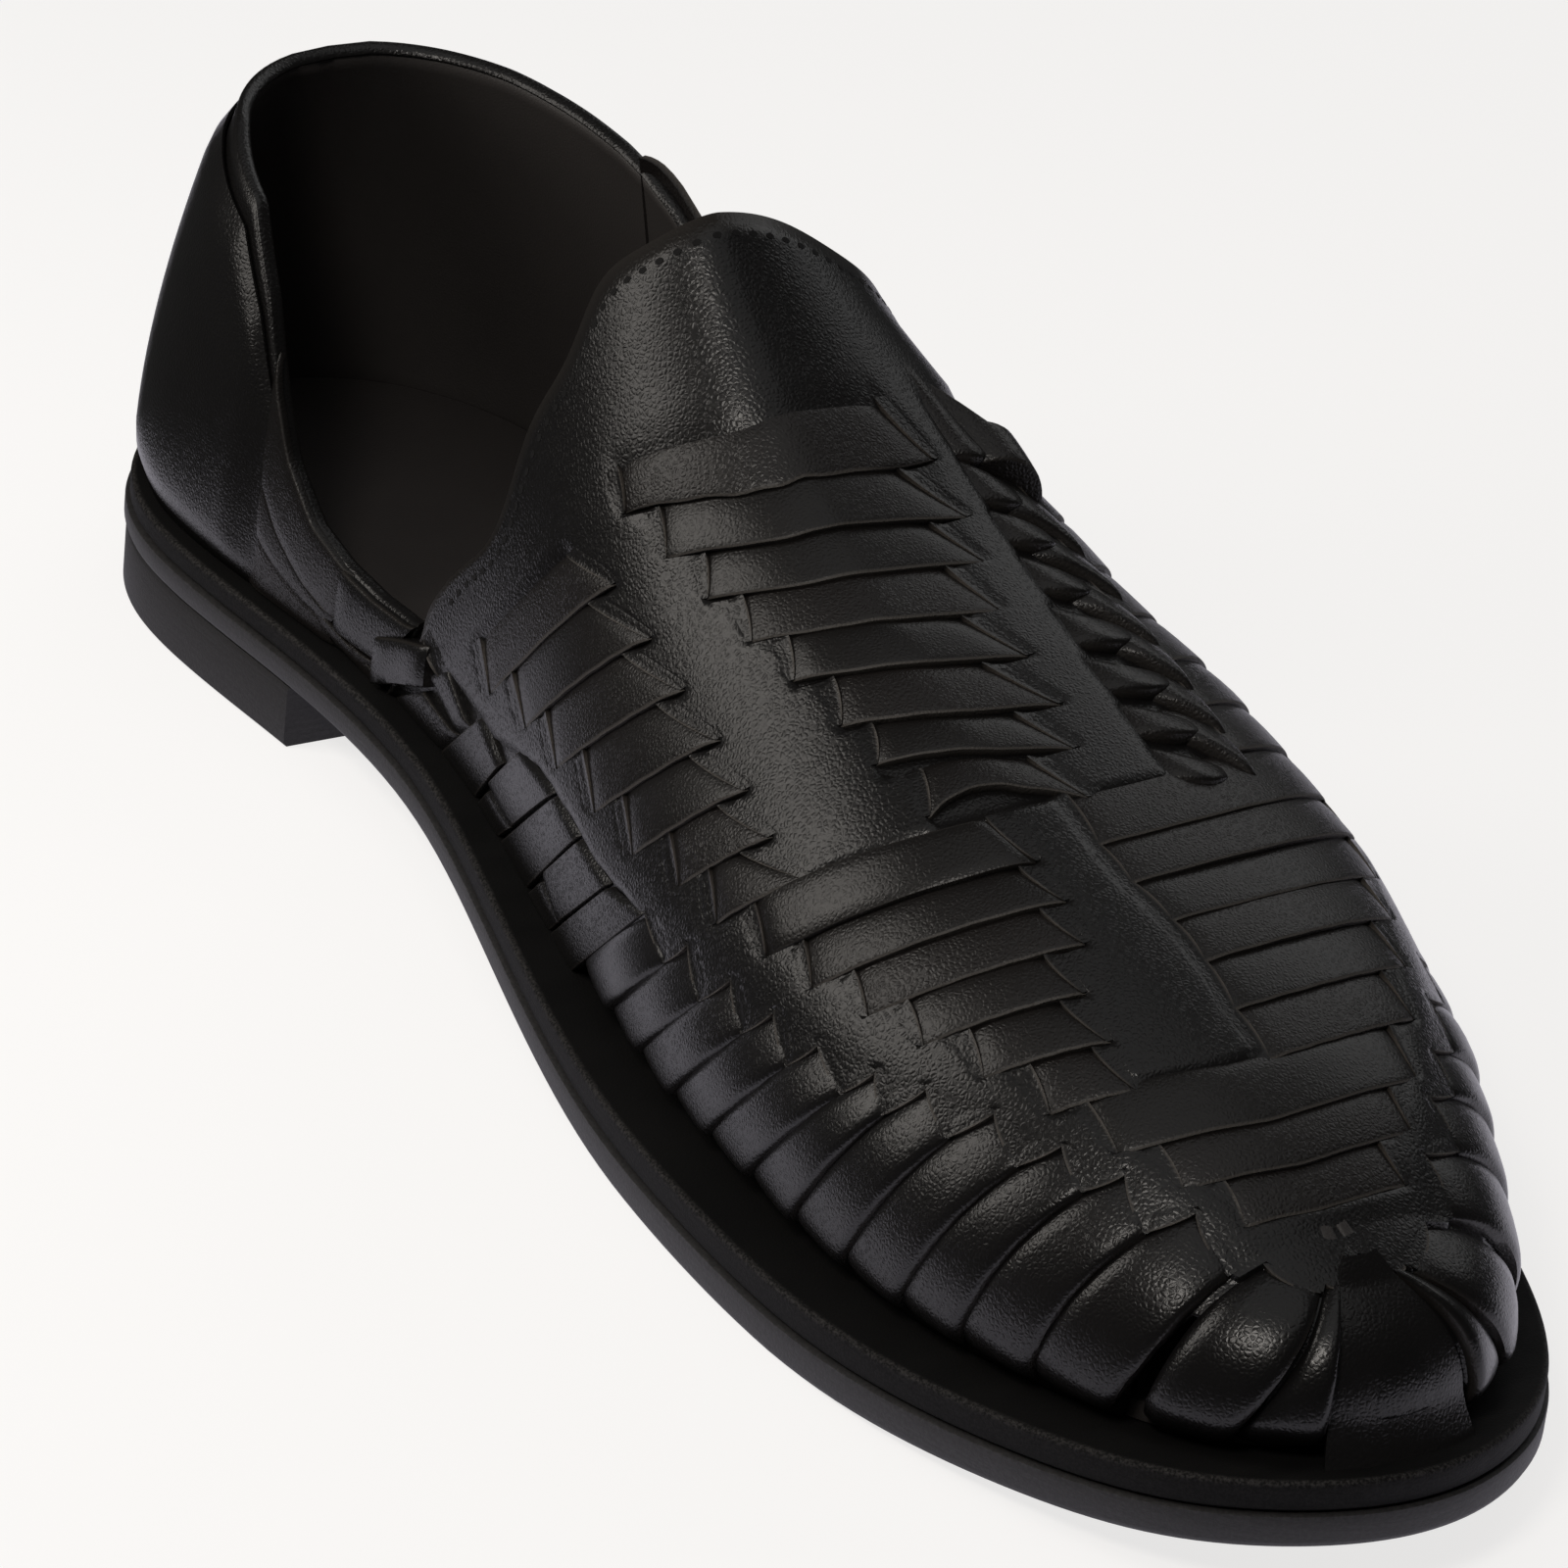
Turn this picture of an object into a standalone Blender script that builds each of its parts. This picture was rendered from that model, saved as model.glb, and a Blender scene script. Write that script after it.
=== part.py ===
"""Left huarache: a woven leather slip-on on a leather midsole, a rubber outsole and a low heel block.

Stations run from the back of the heel (0) to the tip of the toe. +X points to the toe, +Y to the outer
side of the foot and +Z up from the floor. The upper is one hollow wall over the last. Its strips lean
forward from the sole to the crest of the foot, and pass over and under the smooth bands of the vamp.
"""

import bmesh
import bpy
import numpy as np

MM = 0.001
INNER, OUTER = -1, 1

LENGTH = 292.5 * MM
GAP = 0.3 * MM
WALL = 1.8 * MM
STRIP_LIFT = 1.2 * MM
BAND_LIFT = 0.5 * MM
COUNTER_THICK = 1.5 * MM
COUNTER_FRONT = 59.0 * MM
INSOLE_THICK = 2.5 * MM
INSOLE_CLEARANCE = 1.2 * MM
OUTSOLE_SHARE = 0.55
MIDSOLE_SETBACK = 0.6 * MM
SOLE_BEVEL = 0.9 * MM
HEEL_BREAST = 72.0 * MM
HEEL_SETBACK = 0.4 * MM
SOLE_STATIONS = 30
LAST_LINE = 22
TOE_POLE = 272.0 * MM
TOE_SLOPE_STATION = 262.0 * MM
LEVEL_TWO, LEVEL_THREE, TOE_FAN = 8, 14, 18
OPEN_STRIPS = (17, 18, 19, 20)
STRAP_REACH = 62.0 * MM
SWING_FROM, SWING_OVER = 0.42, 0.46
TAB_FRONT = 0.72
STEP = 0.006


def table(names, lengths, rows):
    """Named columns of a short table; the first columns, as many as lengths says, are millimetres."""
    columns = np.array(rows, float).T
    columns[:lengths] *= MM
    return dict(zip(names.split(), columns))


# Outline of the outsole, and how far inside it the upper meets the sole.
OUTLINE = table("x inner outer inset", 4, [
    (0, 0, 0, 2.5), (8, -20, 20, 2.5), (32, -32.3, 33.5, 3), (70, -30.7, 37.5, 4.2), (105, -30.1, 43, 5.7),
    (140, -36.2, 49.5, 6.8), (175, -42.6, 54, 7.8), (205, -45, 53, 8), (235, -43.2, 46.5, 7.5),
    (260, -36.3, 37, 7), (280, -26, 23.5, 6.5), (289, -15, 11.5, 6.5), (292.5, -2, -2, 6.5)])

# Underside of the outsole with its arch and toe spring.
UNDERSIDE = table("x z", 2, [
    (0, 9.3), (40, 9.3), (75, 9.1), (110, 7.4), (150, 2.6), (180, 0.1), (200, 0), (222, 0), (250, 1.6),
    (275, 4.8), (292.5, 8.2)])

# Outsole and midsole together.
SOLE_THICK = table("x z", 2, [(0, 7.0), (75, 7.0), (140, 7.6), (190, 8.5), (292.5, 8.5)])

# Crest of the last over each station. Behind the throat it stands in for the ankle.
CREST = table("station x y z", 4, [
    (0, 58, 0, 135), (30, 58, 0, 135), (60, 62, -0.5, 132), (90, 94, -2, 115), (123, 123, -3.4, 94),
    (150, 150, -3.6, 73.5), (180, 180, -3.8, 61.6), (210, 210, -4, 53.6), (240, 240, -3.6, 46),
    (262, 262, -3.2, 38.2), (272, 270, -3, 34)])

# How high the side wall stands, how broad the crown is and how far the wall leans out, by side.
FULLNESS = table("station wall_in crown_in lean_in wall_out crown_out lean_out", 1, [
    (0, .34, .30, .03, .34, .30, .03), (30, .34, .30, .04, .34, .30, .05), (60, .36, .30, .06, .38, .30, .10),
    (90, .40, .32, .04, .46, .38, .14), (123, .42, .47, .05, .52, .44, .18), (150, .48, .43, .08, .66, .62, .27),
    (180, .54, .48, .10, .75, .72, .31), (210, .60, .54, .12, .79, .76, .31), (240, .64, .58, .14, .77, .73, .27),
    (262, .67, .60, .16, .71, .64, .20), (292.5, .70, .60, .16, .70, .60, .16)])

# Lines between strips: the station where each leaves the sole, where it would cross the crest, and how
# much further forward it swings over the crown.
LINES = table("foot crest swing line", 3, [
    (88, 123, 0, 0), (95.5, 144.5, 7.4, 1), (104, 151, 7.4, 2), (113, 159.5, 5, 3), (122, 168, 4, 4),
    (142, 186.5, 2.6, 6), (161.5, 203.5, 0.9, 8), (171, 213, 0, 9), (202, 233.5, 0, 12), (235.5, 255.5, 0, 15),
    (256.5, 268, 0, 17), (271.5, 276, 0, 18), (279.8, 282, 0, 19), (286.4, 287.4, 0, 20), (290.8, 291, 0, 21),
    (292.5, 292.5, 0, 22)])

# Where the bands of the vamp lie on each line, as a share of the way from the sole to the crest: the
# border band from low to high, the next band from near to far on the inner and on the outer side.
BANDS = table("line low high near_in far_in near_out far_out", 0, [
    (0, .145, .20, .40, .52, .72, .81), (1, .11, .145, .41, .54, .74, .82), (2, .10, .15, .41, .59, .745, .83),
    (4, .15, .22, .47, .67, .765, .86), (6, .22, .30, .47, .74, .785, .89), (7.99, .265, .34, .51, .78, .775, .94),
    (8, .265, .34, .60, .92, .70, .96), (13.99, .495, .59, .68, .77, .78, .935),
    (14, .495, .59, .72, .86, .76, .90), (18, .71, .80, .84, .90, .84, .90), (22, .78, .86, .88, .92, .88, .92)])

# Height of the collar edge above the floor.
TOPLINE = table("x inner outer", 3, [
    (-5, 74, 74), (10, 74, 74), (30, 71.5, 73), (44, 66, 71.5), (52, 56, 70.5), (58, 45, 69), (63, 37, 66.8),
    (70, 30.8, 61.5), (77, 28.4, 53.5), (85, 27.4, 44), (93, 27.6, 36.5), (98, 29, 33.5), (120, 36, 36)])

# Rear columns of the wall, from the throat line back to the heel.
REAR_FEET = [82, 76, 70, 64.5, COUNTER_FRONT / MM, 52, 44, 35, 26, 17, 9, 3, 0]
REAR_SHARES = (0, .25, .46, .54, .78, 1)


def spline(at, xs, ys):
    """Natural cubic spline through the points (xs, ys), read at the values in at."""
    at = np.asarray(at, float)
    gaps = np.diff(xs)
    count = len(xs)
    system = np.eye(count)
    right = np.zeros(count)
    for i in range(1, count - 1):
        system[i, i - 1:i + 2] = gaps[i - 1], 2 * (gaps[i - 1] + gaps[i]), gaps[i]
        right[i] = 6 * ((ys[i + 1] - ys[i]) / gaps[i] - (ys[i] - ys[i - 1]) / gaps[i - 1])
    bend = np.linalg.solve(system, right)
    i = np.clip(np.searchsorted(xs, at) - 1, 0, count - 2)
    before, after, gap = at - xs[i], xs[i + 1] - at, gaps[i]
    curve = (bend[i] * after ** 3 + bend[i + 1] * before ** 3) / (6 * gap)
    return curve + (ys[i] / gap - bend[i] * gap / 6) * after + (ys[i + 1] / gap - bend[i + 1] * gap / 6) * before


def turn(station):
    """Run along the outline, 0 at the heel and 1 at the toe, that goes evenly round both ends."""
    return np.arccos(np.clip(1 - 2 * np.asarray(station, float) / LENGTH, -1, 1)) / np.pi


def outline(side, run):
    """Edge of the outsole in plan at a run along one side."""
    x = LENGTH * (1 - np.cos(np.pi * run)) / 2
    y = spline(run, turn(OUTLINE["x"]), OUTLINE["inner" if side == INNER else "outer"])
    return np.stack([x, y], -1)


def inset_outline(side, run, inset):
    """Outline moved inwards, square to its own direction."""
    tangent = outline(side, np.clip(run + 1e-4, 0, 1)) - outline(side, np.clip(run - 1e-4, 0, 1))
    tangent /= np.linalg.norm(tangent, axis=-1, keepdims=True)
    inward = np.stack([-tangent[..., 1], tangent[..., 0]], -1) * -side
    return outline(side, run) + inward * np.asarray(inset)[..., None]


def underside(x):
    """Height of the outsole's underside, flat on the floor under the ball."""
    return np.maximum(spline(x, UNDERSIDE["x"], UNDERSIDE["z"]), 0)


def sole_height(x, share):
    """Height at a share of the sole's thickness, from the underside (0) to the top of the midsole (1)."""
    return underside(x) + share * spline(x, SOLE_THICK["x"], SOLE_THICK["z"])


def feather(side, station):
    """Line where the upper meets the top of the midsole."""
    plan = inset_outline(side, turn(station), np.interp(station, OUTLINE["x"], OUTLINE["inset"]))
    return np.concatenate([plan, (sole_height(plan[..., 0], 1) + GAP)[..., None]], -1)


def crest(station):
    """Highest line of the last, which ends in a pole over the toe."""
    held = np.minimum(station, TOE_POLE)
    return np.stack([spline(held, CREST["station"], CREST[axis]) for axis in "xyz"], -1)


def last(side, station, share):
    """Point on the last: a Bezier section that rises from the feather line and rounds over to the crest."""
    station = np.asarray(station, float)
    share = np.asarray(share, float)[..., None]
    foot, top = feather(side, station), crest(station)
    suffix = "in" if side == INNER else "out"
    wall, crown, lean = (np.interp(station, FULLNESS["station"], FULLNESS[f"{name}_{suffix}"])[..., None]
                         for name in ("wall", "crown", "lean"))
    plan = foot[..., :2] - top[..., :2]
    reach = np.linalg.norm(plan, axis=-1, keepdims=True)
    away = plan / reach
    rise = (top[..., 2] - foot[..., 2])[..., None]
    held = np.minimum(station, TOE_SLOPE_STATION)
    slope = ((crest(held + MM)[..., 2] - crest(held - MM)[..., 2]) / (2 * MM))[..., None]
    low = foot + wall * rise * np.concatenate([lean * away, np.ones_like(reach)], -1)
    high = top + crown * reach * np.concatenate([away, away[..., :1] * slope], -1)
    rest = 1 - share
    return rest ** 3 * foot + 3 * rest ** 2 * share * low + 3 * rest * share ** 2 * high + share ** 3 * top


def on_line(side, line, share):
    """Point on the last along one of the lines between strips, which lean forward as they rise."""
    foot, top, swing = (np.interp(line, LINES["line"], LINES[name]) for name in ("foot", "crest", "swing"))
    over = np.clip((share - SWING_FROM) / SWING_OVER, 0, 1)
    station = foot + (top - foot) * (1 - (1 - share) ** 2) + swing * over ** 2 * (3 - 2 * over)
    return last(INNER if line >= LAST_LINE else side, station, share)


def line_shares(side, line):
    """Shares of the rows on one line: a pair of rows at each edge of a band, and rows between them."""
    suffix = "in" if side == INNER else "out"
    low, high, near, far = (np.interp(line, BANDS["line"], BANDS[name])
                            for name in ("low", "high", f"near_{suffix}", f"far_{suffix}"))
    rows = [0, low / 4, low / 2 - STEP, low / 2 + STEP, low * .75, low - STEP, low + STEP, high - STEP,
            high + STEP, (high + near) / 2, near - STEP, near + STEP, (near + far) / 2, far - STEP,
            far + STEP, far + (1 - far) * .35, far + (1 - far) * .68, 1]
    return np.array(rows)


ROWS = 18
INNER_ROWS = (0, 1, 2, 2, 4, 5, 5, 7, 7, 9, 10, 10, 12, 13, 13, 15, 16, 17)


def lift(strip, across, row):
    """How far the woven face stands off the wall, across one strip and on one of its rows."""
    shingle = STRIP_LIFT * np.interp(across, (0, .45, .93), (.15, .85, 1))
    if strip == 0:
        return shingle if row >= 14 and across > 0 else BAND_LIFT
    if row < 6:
        basket = strip < LEVEL_TWO and (strip + (row > 2)) % 2 == 0
        return 0.2 * STRIP_LIFT if basket else shingle
    if row < 8 or strip >= TOE_FAN:
        return BAND_LIFT
    if row < 11:
        return shingle
    if row < 14:
        return BAND_LIFT if strip < LEVEL_TWO else shingle
    return BAND_LIFT if LEVEL_TWO <= strip < LEVEL_THREE else shingle


class Wall:
    """Open face of the upper, kept with the place of each point on the wall's inside."""

    def __init__(self):
        self.points, self.lifts, self.inside = [], [], []
        self.index, self.inner_index, self.inner_points = {}, {}, []
        self.faces = []

    @staticmethod
    def key(point):
        return tuple(np.round(np.asarray(point) * 1e7).astype(int))

    def add(self, point, height, inner_point):
        """Index of a point of the face, shared where two blocks meet."""
        key = self.key(point)
        if key not in self.index:
            inner_key = self.key(inner_point)
            if inner_key not in self.inner_index:
                self.inner_index[inner_key] = len(self.inner_points)
                self.inner_points.append(inner_point)
            self.index[key] = len(self.points)
            self.points.append(point)
            self.lifts.append(height)
            self.inside.append(self.inner_index[inner_key])
        return self.index[key]

    def face(self, corners):
        """Face with repeated corners dropped."""
        kept = [c for i, c in enumerate(corners) if c != corners[i - 1]]
        if len(set(kept)) > 2:
            self.faces.append(kept)

    def normals(self):
        """Average direction of the faces round each point."""
        points = np.array(self.points)
        total = np.zeros_like(points)
        for face in self.faces:
            a, b, c = points[face[0]], points[face[1]], points[face[2]]
            normal = np.cross(b - a, c - a)
            if len(face) == 4:
                normal = normal + np.cross(c - a, points[face[3]] - a)
            total[face] += normal
        return total / np.linalg.norm(total, axis=1, keepdims=True)

    def solid(self):
        """Vertices and faces of the closed wall: outer face, inner face and the rims between them."""
        points, inside = np.array(self.points), np.array(self.inside)
        normals = self.normals()
        inner_normals = np.zeros((len(self.inner_points), 3))
        np.add.at(inner_normals, inside, normals)
        on_sole = np.abs(points[:, 2] - sole_height(points[:, 0], 1) - GAP) < 1e-7
        inner_points = np.array(self.inner_points)
        inner_on_sole = np.abs(inner_points[:, 2] - sole_height(inner_points[:, 0], 1) - GAP) < 1e-7
        normals[on_sole, 2] = 0
        inner_normals[inner_on_sole, 2] = 0
        normals /= np.linalg.norm(normals, axis=1, keepdims=True)
        inner_normals /= np.linalg.norm(inner_normals, axis=1, keepdims=True)
        face = points + normals * np.array(self.lifts)[:, None]
        lining = inner_points - inner_normals * WALL
        for ring, flat in ((face, on_sole), (lining, inner_on_sole)):
            ring[flat, 2] = sole_height(ring[flat, 0], 1) + GAP
        first = len(face)
        faces = list(self.faces)
        for corners in self.faces:
            back = [first + inside[c] for c in reversed(corners)]
            kept = [c for i, c in enumerate(back) if c != back[i - 1]]
            if len(set(kept)) > 2:
                faces.append(kept)
        used = {(a, b) for f in self.faces for a, b in zip(f, f[1:] + f[:1])}
        for a, b in used:
            if (b, a) not in used:
                rim = [b, a, first + inside[a], first + inside[b]]
                faces.append(rim if inside[a] != inside[b] else rim[:3])
        return np.concatenate([face, lining]), faces


def vamp_columns():
    """Columns over the vamp: line, strip, place across the strip and the line on the wall's inside."""
    columns = [(0.0, 0, 0.0, 0.0), (TAB_FRONT / 2, 0, 0.0, TAB_FRONT / 2), (TAB_FRONT, 0, 0.0, TAB_FRONT),
               (.84, 0, .45, .84), (.98, 0, .93, 1.0)]
    for strip in range(1, LAST_LINE):
        edge = .72 if strip in OPEN_STRIPS else .93
        columns.append((float(strip), strip, 0.0, float(strip)))
        columns.append((strip + .42, strip, .45, float(strip)))
        columns.append((strip + edge, strip, .93, strip + edge if strip in OPEN_STRIPS else strip + 1.0))
    columns.append((float(LAST_LINE), LAST_LINE, 0.0, float(LAST_LINE)))
    return columns


def add_vamp(wall, side):
    """Toe, sides and throat tab: a grid of strip columns and band rows, open between strips at the toe."""
    grid = []
    for line, strip, across, inner_line in vamp_columns():
        shares = line_shares(side, line)
        inner_shares = line_shares(side, inner_line)
        column = []
        for row in range(ROWS):
            inner_row = INNER_ROWS[row]
            inner_point = on_line(side, inner_line, inner_shares[inner_row])
            column.append(wall.add(on_line(side, line, shares[row]), lift(strip, across, row), inner_point))
        grid.append((strip, across, column))
    for (strip, across, column), (_, _, ahead) in zip(grid, grid[1:]):
        for row in range(ROWS - 1):
            if strip in OPEN_STRIPS and across == .93 and row < 3:
                continue
            corners = [column[row], ahead[row], ahead[row + 1], column[row + 1]]
            wall.face(corners if side == INNER else corners[::-1])
    return [column[2][:6] for column in grid[:1]][0]


def rear_point(side, foot, share):
    """Point on the rear wall at a share of the way up to the collar."""
    if foot == 0:
        side = INNER
    reach = np.interp(foot, (COUNTER_FRONT, LINES["foot"][0]), (0, LINES["crest"][0] - LINES["foot"][0]))
    shares = np.linspace(0, .7, 300)
    rising = last(side, foot + reach * (1 - (1 - shares) ** 2), shares)
    over = rising[:, 2] - np.interp(rising[:, 0], TOPLINE["x"], TOPLINE["inner" if side == INNER else "outer"])
    top = np.interp(0, over, shares)
    share = np.asarray(share) * top
    return last(side, foot + reach * (1 - (1 - share) ** 2), share)


def add_rear(wall, side, throat):
    """Low side strap and heel wall, from the throat line back to the heel, slit along the strap."""
    before = throat
    slit = True
    for foot in REAR_FEET:
        station = foot * MM
        strap = station > STRAP_REACH
        column = []
        for row, share in enumerate(REAR_SHARES):
            point = rear_point(side, station, share)
            height = STRIP_LIFT * (.9 if row in (1, 4) else .3) if strap else 0
            column.append(wall.add(point, height, point))
        for row in range(5):
            if row == 2 and slit and strap:
                continue
            corners = [column[row], before[row], before[row + 1], column[row + 1]]
            wall.face(corners if side == INNER else corners[::-1])
        before = column


def counter_shell():
    """Heel overlay: the rear wall's own columns and rows, held off the wall and closed at its edges."""
    feet = [foot * MM for foot in REAR_FEET if foot * MM <= COUNTER_FRONT]
    shares = (.05,) + REAR_SHARES[1:5] + (.93,)
    run = [(INNER, foot) for foot in feet] + [(OUTER, foot) for foot in feet[-2::-1]]
    grid = np.array([[rear_point(side, foot, share) for share in shares] for side, foot in run])
    along = np.gradient(grid, axis=0)
    upward = np.gradient(grid, axis=1)
    normals = np.cross(upward, along)
    normals /= np.linalg.norm(normals, axis=-1, keepdims=True)
    skins = [grid + normals * GAP * 1.2, grid + normals * (GAP * 1.2 + COUNTER_THICK)]
    columns, rows = grid.shape[:2]
    size = columns * rows
    vertices = np.concatenate([skin.reshape(-1, 3) for skin in skins])

    def at(skin, column, row):
        return skin * size + column * rows + row

    faces = []
    for c in range(columns - 1):
        for r in range(rows - 1):
            faces.append([at(1, c, r), at(1, c, r + 1), at(1, c + 1, r + 1), at(1, c + 1, r)])
            faces.append([at(0, c, r), at(0, c + 1, r), at(0, c + 1, r + 1), at(0, c, r + 1)])
        for r in (0, rows - 1):
            faces.append([at(0, c, r), at(0, c + 1, r), at(1, c + 1, r), at(1, c, r)])
    for r in range(rows - 1):
        for c in (0, columns - 1):
            faces.append([at(0, c, r), at(0, c, r + 1), at(1, c, r + 1), at(1, c, r)])
    return vertices, faces


def slab(levels, front=1.0):
    """Layer of the sole: rings round the outline, one for each (inset, height) level, capped across."""
    runs = np.linspace(0, front, SOLE_STATIONS + 1)
    ends_in_point = front == 1.0
    vertices = []
    for inset, height in levels:
        stations = LENGTH * (1 - np.cos(np.pi * runs)) / 2
        amount = inset(stations)
        inner = inset_outline(INNER, runs, amount)
        outer = inset_outline(OUTER, runs, amount)
        last_outer = SOLE_STATIONS - 1 if ends_in_point else SOLE_STATIONS
        plan = np.concatenate([inner, outer[last_outer:0:-1]])
        vertices.append(np.column_stack([plan, height(plan[:, 0])]))
    count = len(vertices[0])
    faces = []
    for level in range(len(levels) - 1):
        for i in range(count):
            a, b = level * count + i, level * count + (i + 1) % count
            faces.append([a, b, b + count, a + count])
    for level in (0, len(levels) - 1):
        first = level * count
        for i in range(SOLE_STATIONS):
            corners = [i, i + 1, (count - i - 1) % count, (count - i) % count]
            kept = [first + c for j, c in enumerate(corners) if c != corners[j - 1]]
            if len(set(kept)) > 2:
                faces.append(kept)
    return np.concatenate(vertices), faces


def feather_inset(extra):
    """Inset of the feather line, and some more."""
    return lambda x: np.interp(x, OUTLINE["x"], OUTLINE["inset"]) + extra


def even(amount):
    """The same inset or height at every station."""
    return lambda x: np.full_like(x, amount)


def leather(name, colour, roughness):
    """Plain material of one piece."""
    material = bpy.data.materials.new(name)
    material.use_nodes = True
    shader = material.node_tree.nodes["Principled BSDF"]
    shader.inputs["Base Color"].default_value = (*colour, 1)
    shader.inputs["Roughness"].default_value = roughness
    shader.inputs["Metallic"].default_value = 0
    return material


def add_piece(collection, root, name, shape, colour, roughness):
    """Object of one piece, with its faces turned outwards."""
    vertices, faces = shape
    mesh = bpy.data.meshes.new(name)
    mesh.from_pydata([tuple(v) for v in vertices], [], [[int(c) for c in f] for f in faces])
    model = bmesh.new()
    model.from_mesh(mesh)
    bmesh.ops.recalc_face_normals(model, faces=model.faces)
    bmesh.ops.triangulate(model, faces=model.faces)
    model.to_mesh(mesh)
    model.free()
    mesh.shade_smooth()
    mesh.set_sharp_from_angle(angle=np.radians(35))
    mesh.materials.append(leather(f"{name}_material", colour, roughness))
    piece = bpy.data.objects.new(name, mesh)
    piece.parent = root
    collection.objects.link(piece)
    return piece


def upper_solid():
    """The whole upper as one closed wall."""
    wall = Wall()
    for side in (INNER, OUTER):
        add_rear(wall, side, add_vamp(wall, side))
    return wall.solid()


def main():
    for old in list(bpy.data.objects):
        bpy.data.objects.remove(old)
    collection = bpy.data.collections.new("huarache")
    bpy.context.scene.collection.children.link(collection)
    root = bpy.data.objects.new("huarache_root", None)
    collection.objects.link(root)

    outsole = slab([
        (even(SOLE_BEVEL), underside),
        (even(0), lambda x: underside(x) + SOLE_BEVEL),
        (even(0), lambda x: sole_height(x, OUTSOLE_SHARE) - GAP)])
    midsole = slab([
        (even(MIDSOLE_SETBACK), lambda x: sole_height(x, OUTSOLE_SHARE)),
        (even(MIDSOLE_SETBACK), lambda x: sole_height(x, 1) - SOLE_BEVEL / 2),
        (even(MIDSOLE_SETBACK + SOLE_BEVEL / 2), lambda x: sole_height(x, 1))])
    heel = slab([
        (even(HEEL_SETBACK), even(0)),
        (even(HEEL_SETBACK), lambda x: underside(x) - GAP)], front=float(turn(HEEL_BREAST)))
    insole = slab([
        (feather_inset(WALL + INSOLE_CLEARANCE), lambda x: sole_height(x, 1) + GAP),
        (feather_inset(WALL + INSOLE_CLEARANCE), lambda x: sole_height(x, 1) + GAP + INSOLE_THICK)])

    add_piece(collection, root, "outsole", outsole, (.035, .034, .034), .62)
    add_piece(collection, root, "heel", heel, (.030, .029, .029), .66)
    add_piece(collection, root, "midsole", midsole, (.020, .019, .019), .55)
    add_piece(collection, root, "insole", insole, (.014, .011, .010), .50)
    add_piece(collection, root, "upper", upper_solid(), (.022, .020, .019), .42)
    add_piece(collection, root, "heel_counter", counter_shell(), (.018, .017, .017), .40)

    corners = np.concatenate([[v.co[:] for v in piece.data.vertices] for piece in root.children])
    middle = (corners.min(axis=0) + corners.max(axis=0)) / 2
    root.location = (-middle[0], -middle[1], 0)


main()
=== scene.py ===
"""Left woven huarache: the finished look of the shoe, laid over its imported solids.

Places on the woven front are given as (line, over): the line counts the strips from the throat (0) to the
toe (22), and over runs from the sole on the inner side (-1) across the crest (0) to the sole on the outer
side (+1). Places on the rear wall are given as (foot, share): the station at the sole and the share of the
way up to the collar. Lengths in tables are millimetres.
"""

from __future__ import annotations

import logging
from dataclasses import dataclass, field
from enum import Enum
from typing import Protocol, Sequence

import bmesh
import bpy
import numpy as np
from mathutils import Matrix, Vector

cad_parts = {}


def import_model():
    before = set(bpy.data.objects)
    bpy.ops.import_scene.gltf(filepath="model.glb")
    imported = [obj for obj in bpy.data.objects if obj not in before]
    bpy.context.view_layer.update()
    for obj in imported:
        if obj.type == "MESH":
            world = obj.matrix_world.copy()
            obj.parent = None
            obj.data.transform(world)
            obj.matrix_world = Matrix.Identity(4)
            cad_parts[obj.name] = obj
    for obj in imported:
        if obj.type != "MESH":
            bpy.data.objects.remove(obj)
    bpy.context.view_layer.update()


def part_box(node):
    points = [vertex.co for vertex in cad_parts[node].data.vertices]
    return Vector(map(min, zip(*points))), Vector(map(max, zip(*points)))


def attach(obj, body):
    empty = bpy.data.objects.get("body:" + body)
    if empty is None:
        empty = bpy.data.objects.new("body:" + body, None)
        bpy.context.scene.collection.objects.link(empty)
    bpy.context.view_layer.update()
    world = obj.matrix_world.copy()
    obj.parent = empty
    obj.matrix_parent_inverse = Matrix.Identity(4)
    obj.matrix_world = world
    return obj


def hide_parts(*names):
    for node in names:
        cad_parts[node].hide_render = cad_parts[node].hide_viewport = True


LOG = logging.getLogger("huarache")
MM = 0.001
BODY = "root"
UPPER_SLOT = "upper_leather"
Array = np.ndarray
Table = dict[str, np.ndarray]
Tubes = tuple[np.ndarray, np.ndarray, np.ndarray]
Finish = bpy.types.Material


class Side(Enum):
    """Side of the foot, with the sign of its direction across the shoe."""

    INNER = -1
    OUTER = 1

    @property
    def column(self) -> str:
        """Name of this side's column in a table."""
        return "inner" if self is Side.INNER else "outer"


def table(names: str, lengths: int, rows: list[tuple[float, ...]]) -> Table:
    """Named columns of a short table.

    Args:
        names: column names, parted by spaces.
        lengths: how many of the first columns are millimetres.
        rows: one tuple for each row.

    Returns:
        The columns by name, with lengths in metres.
    """
    columns = np.array(rows, float).T
    columns[:lengths] *= MM
    return dict(zip(names.split(), columns))


# Outline of the outsole, and how far inside it the upper meets the sole.
OUTLINE = table("x inner outer inset", 4, [
    (0, 0, 0, 2.5), (8, -20, 20, 2.5), (32, -32.3, 33.5, 3), (70, -30.7, 37.5, 4.2),
    (105, -30.1, 43, 5.7), (140, -36.2, 49.5, 6.8), (175, -42.6, 54, 7.8), (205, -45, 53, 8),
    (235, -43.2, 46.5, 7.5), (260, -36.3, 37, 7), (280, -26, 23.5, 6.5), (289, -15, 11.5, 6.5),
    (292.5, -2, -2, 6.5)])

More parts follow.
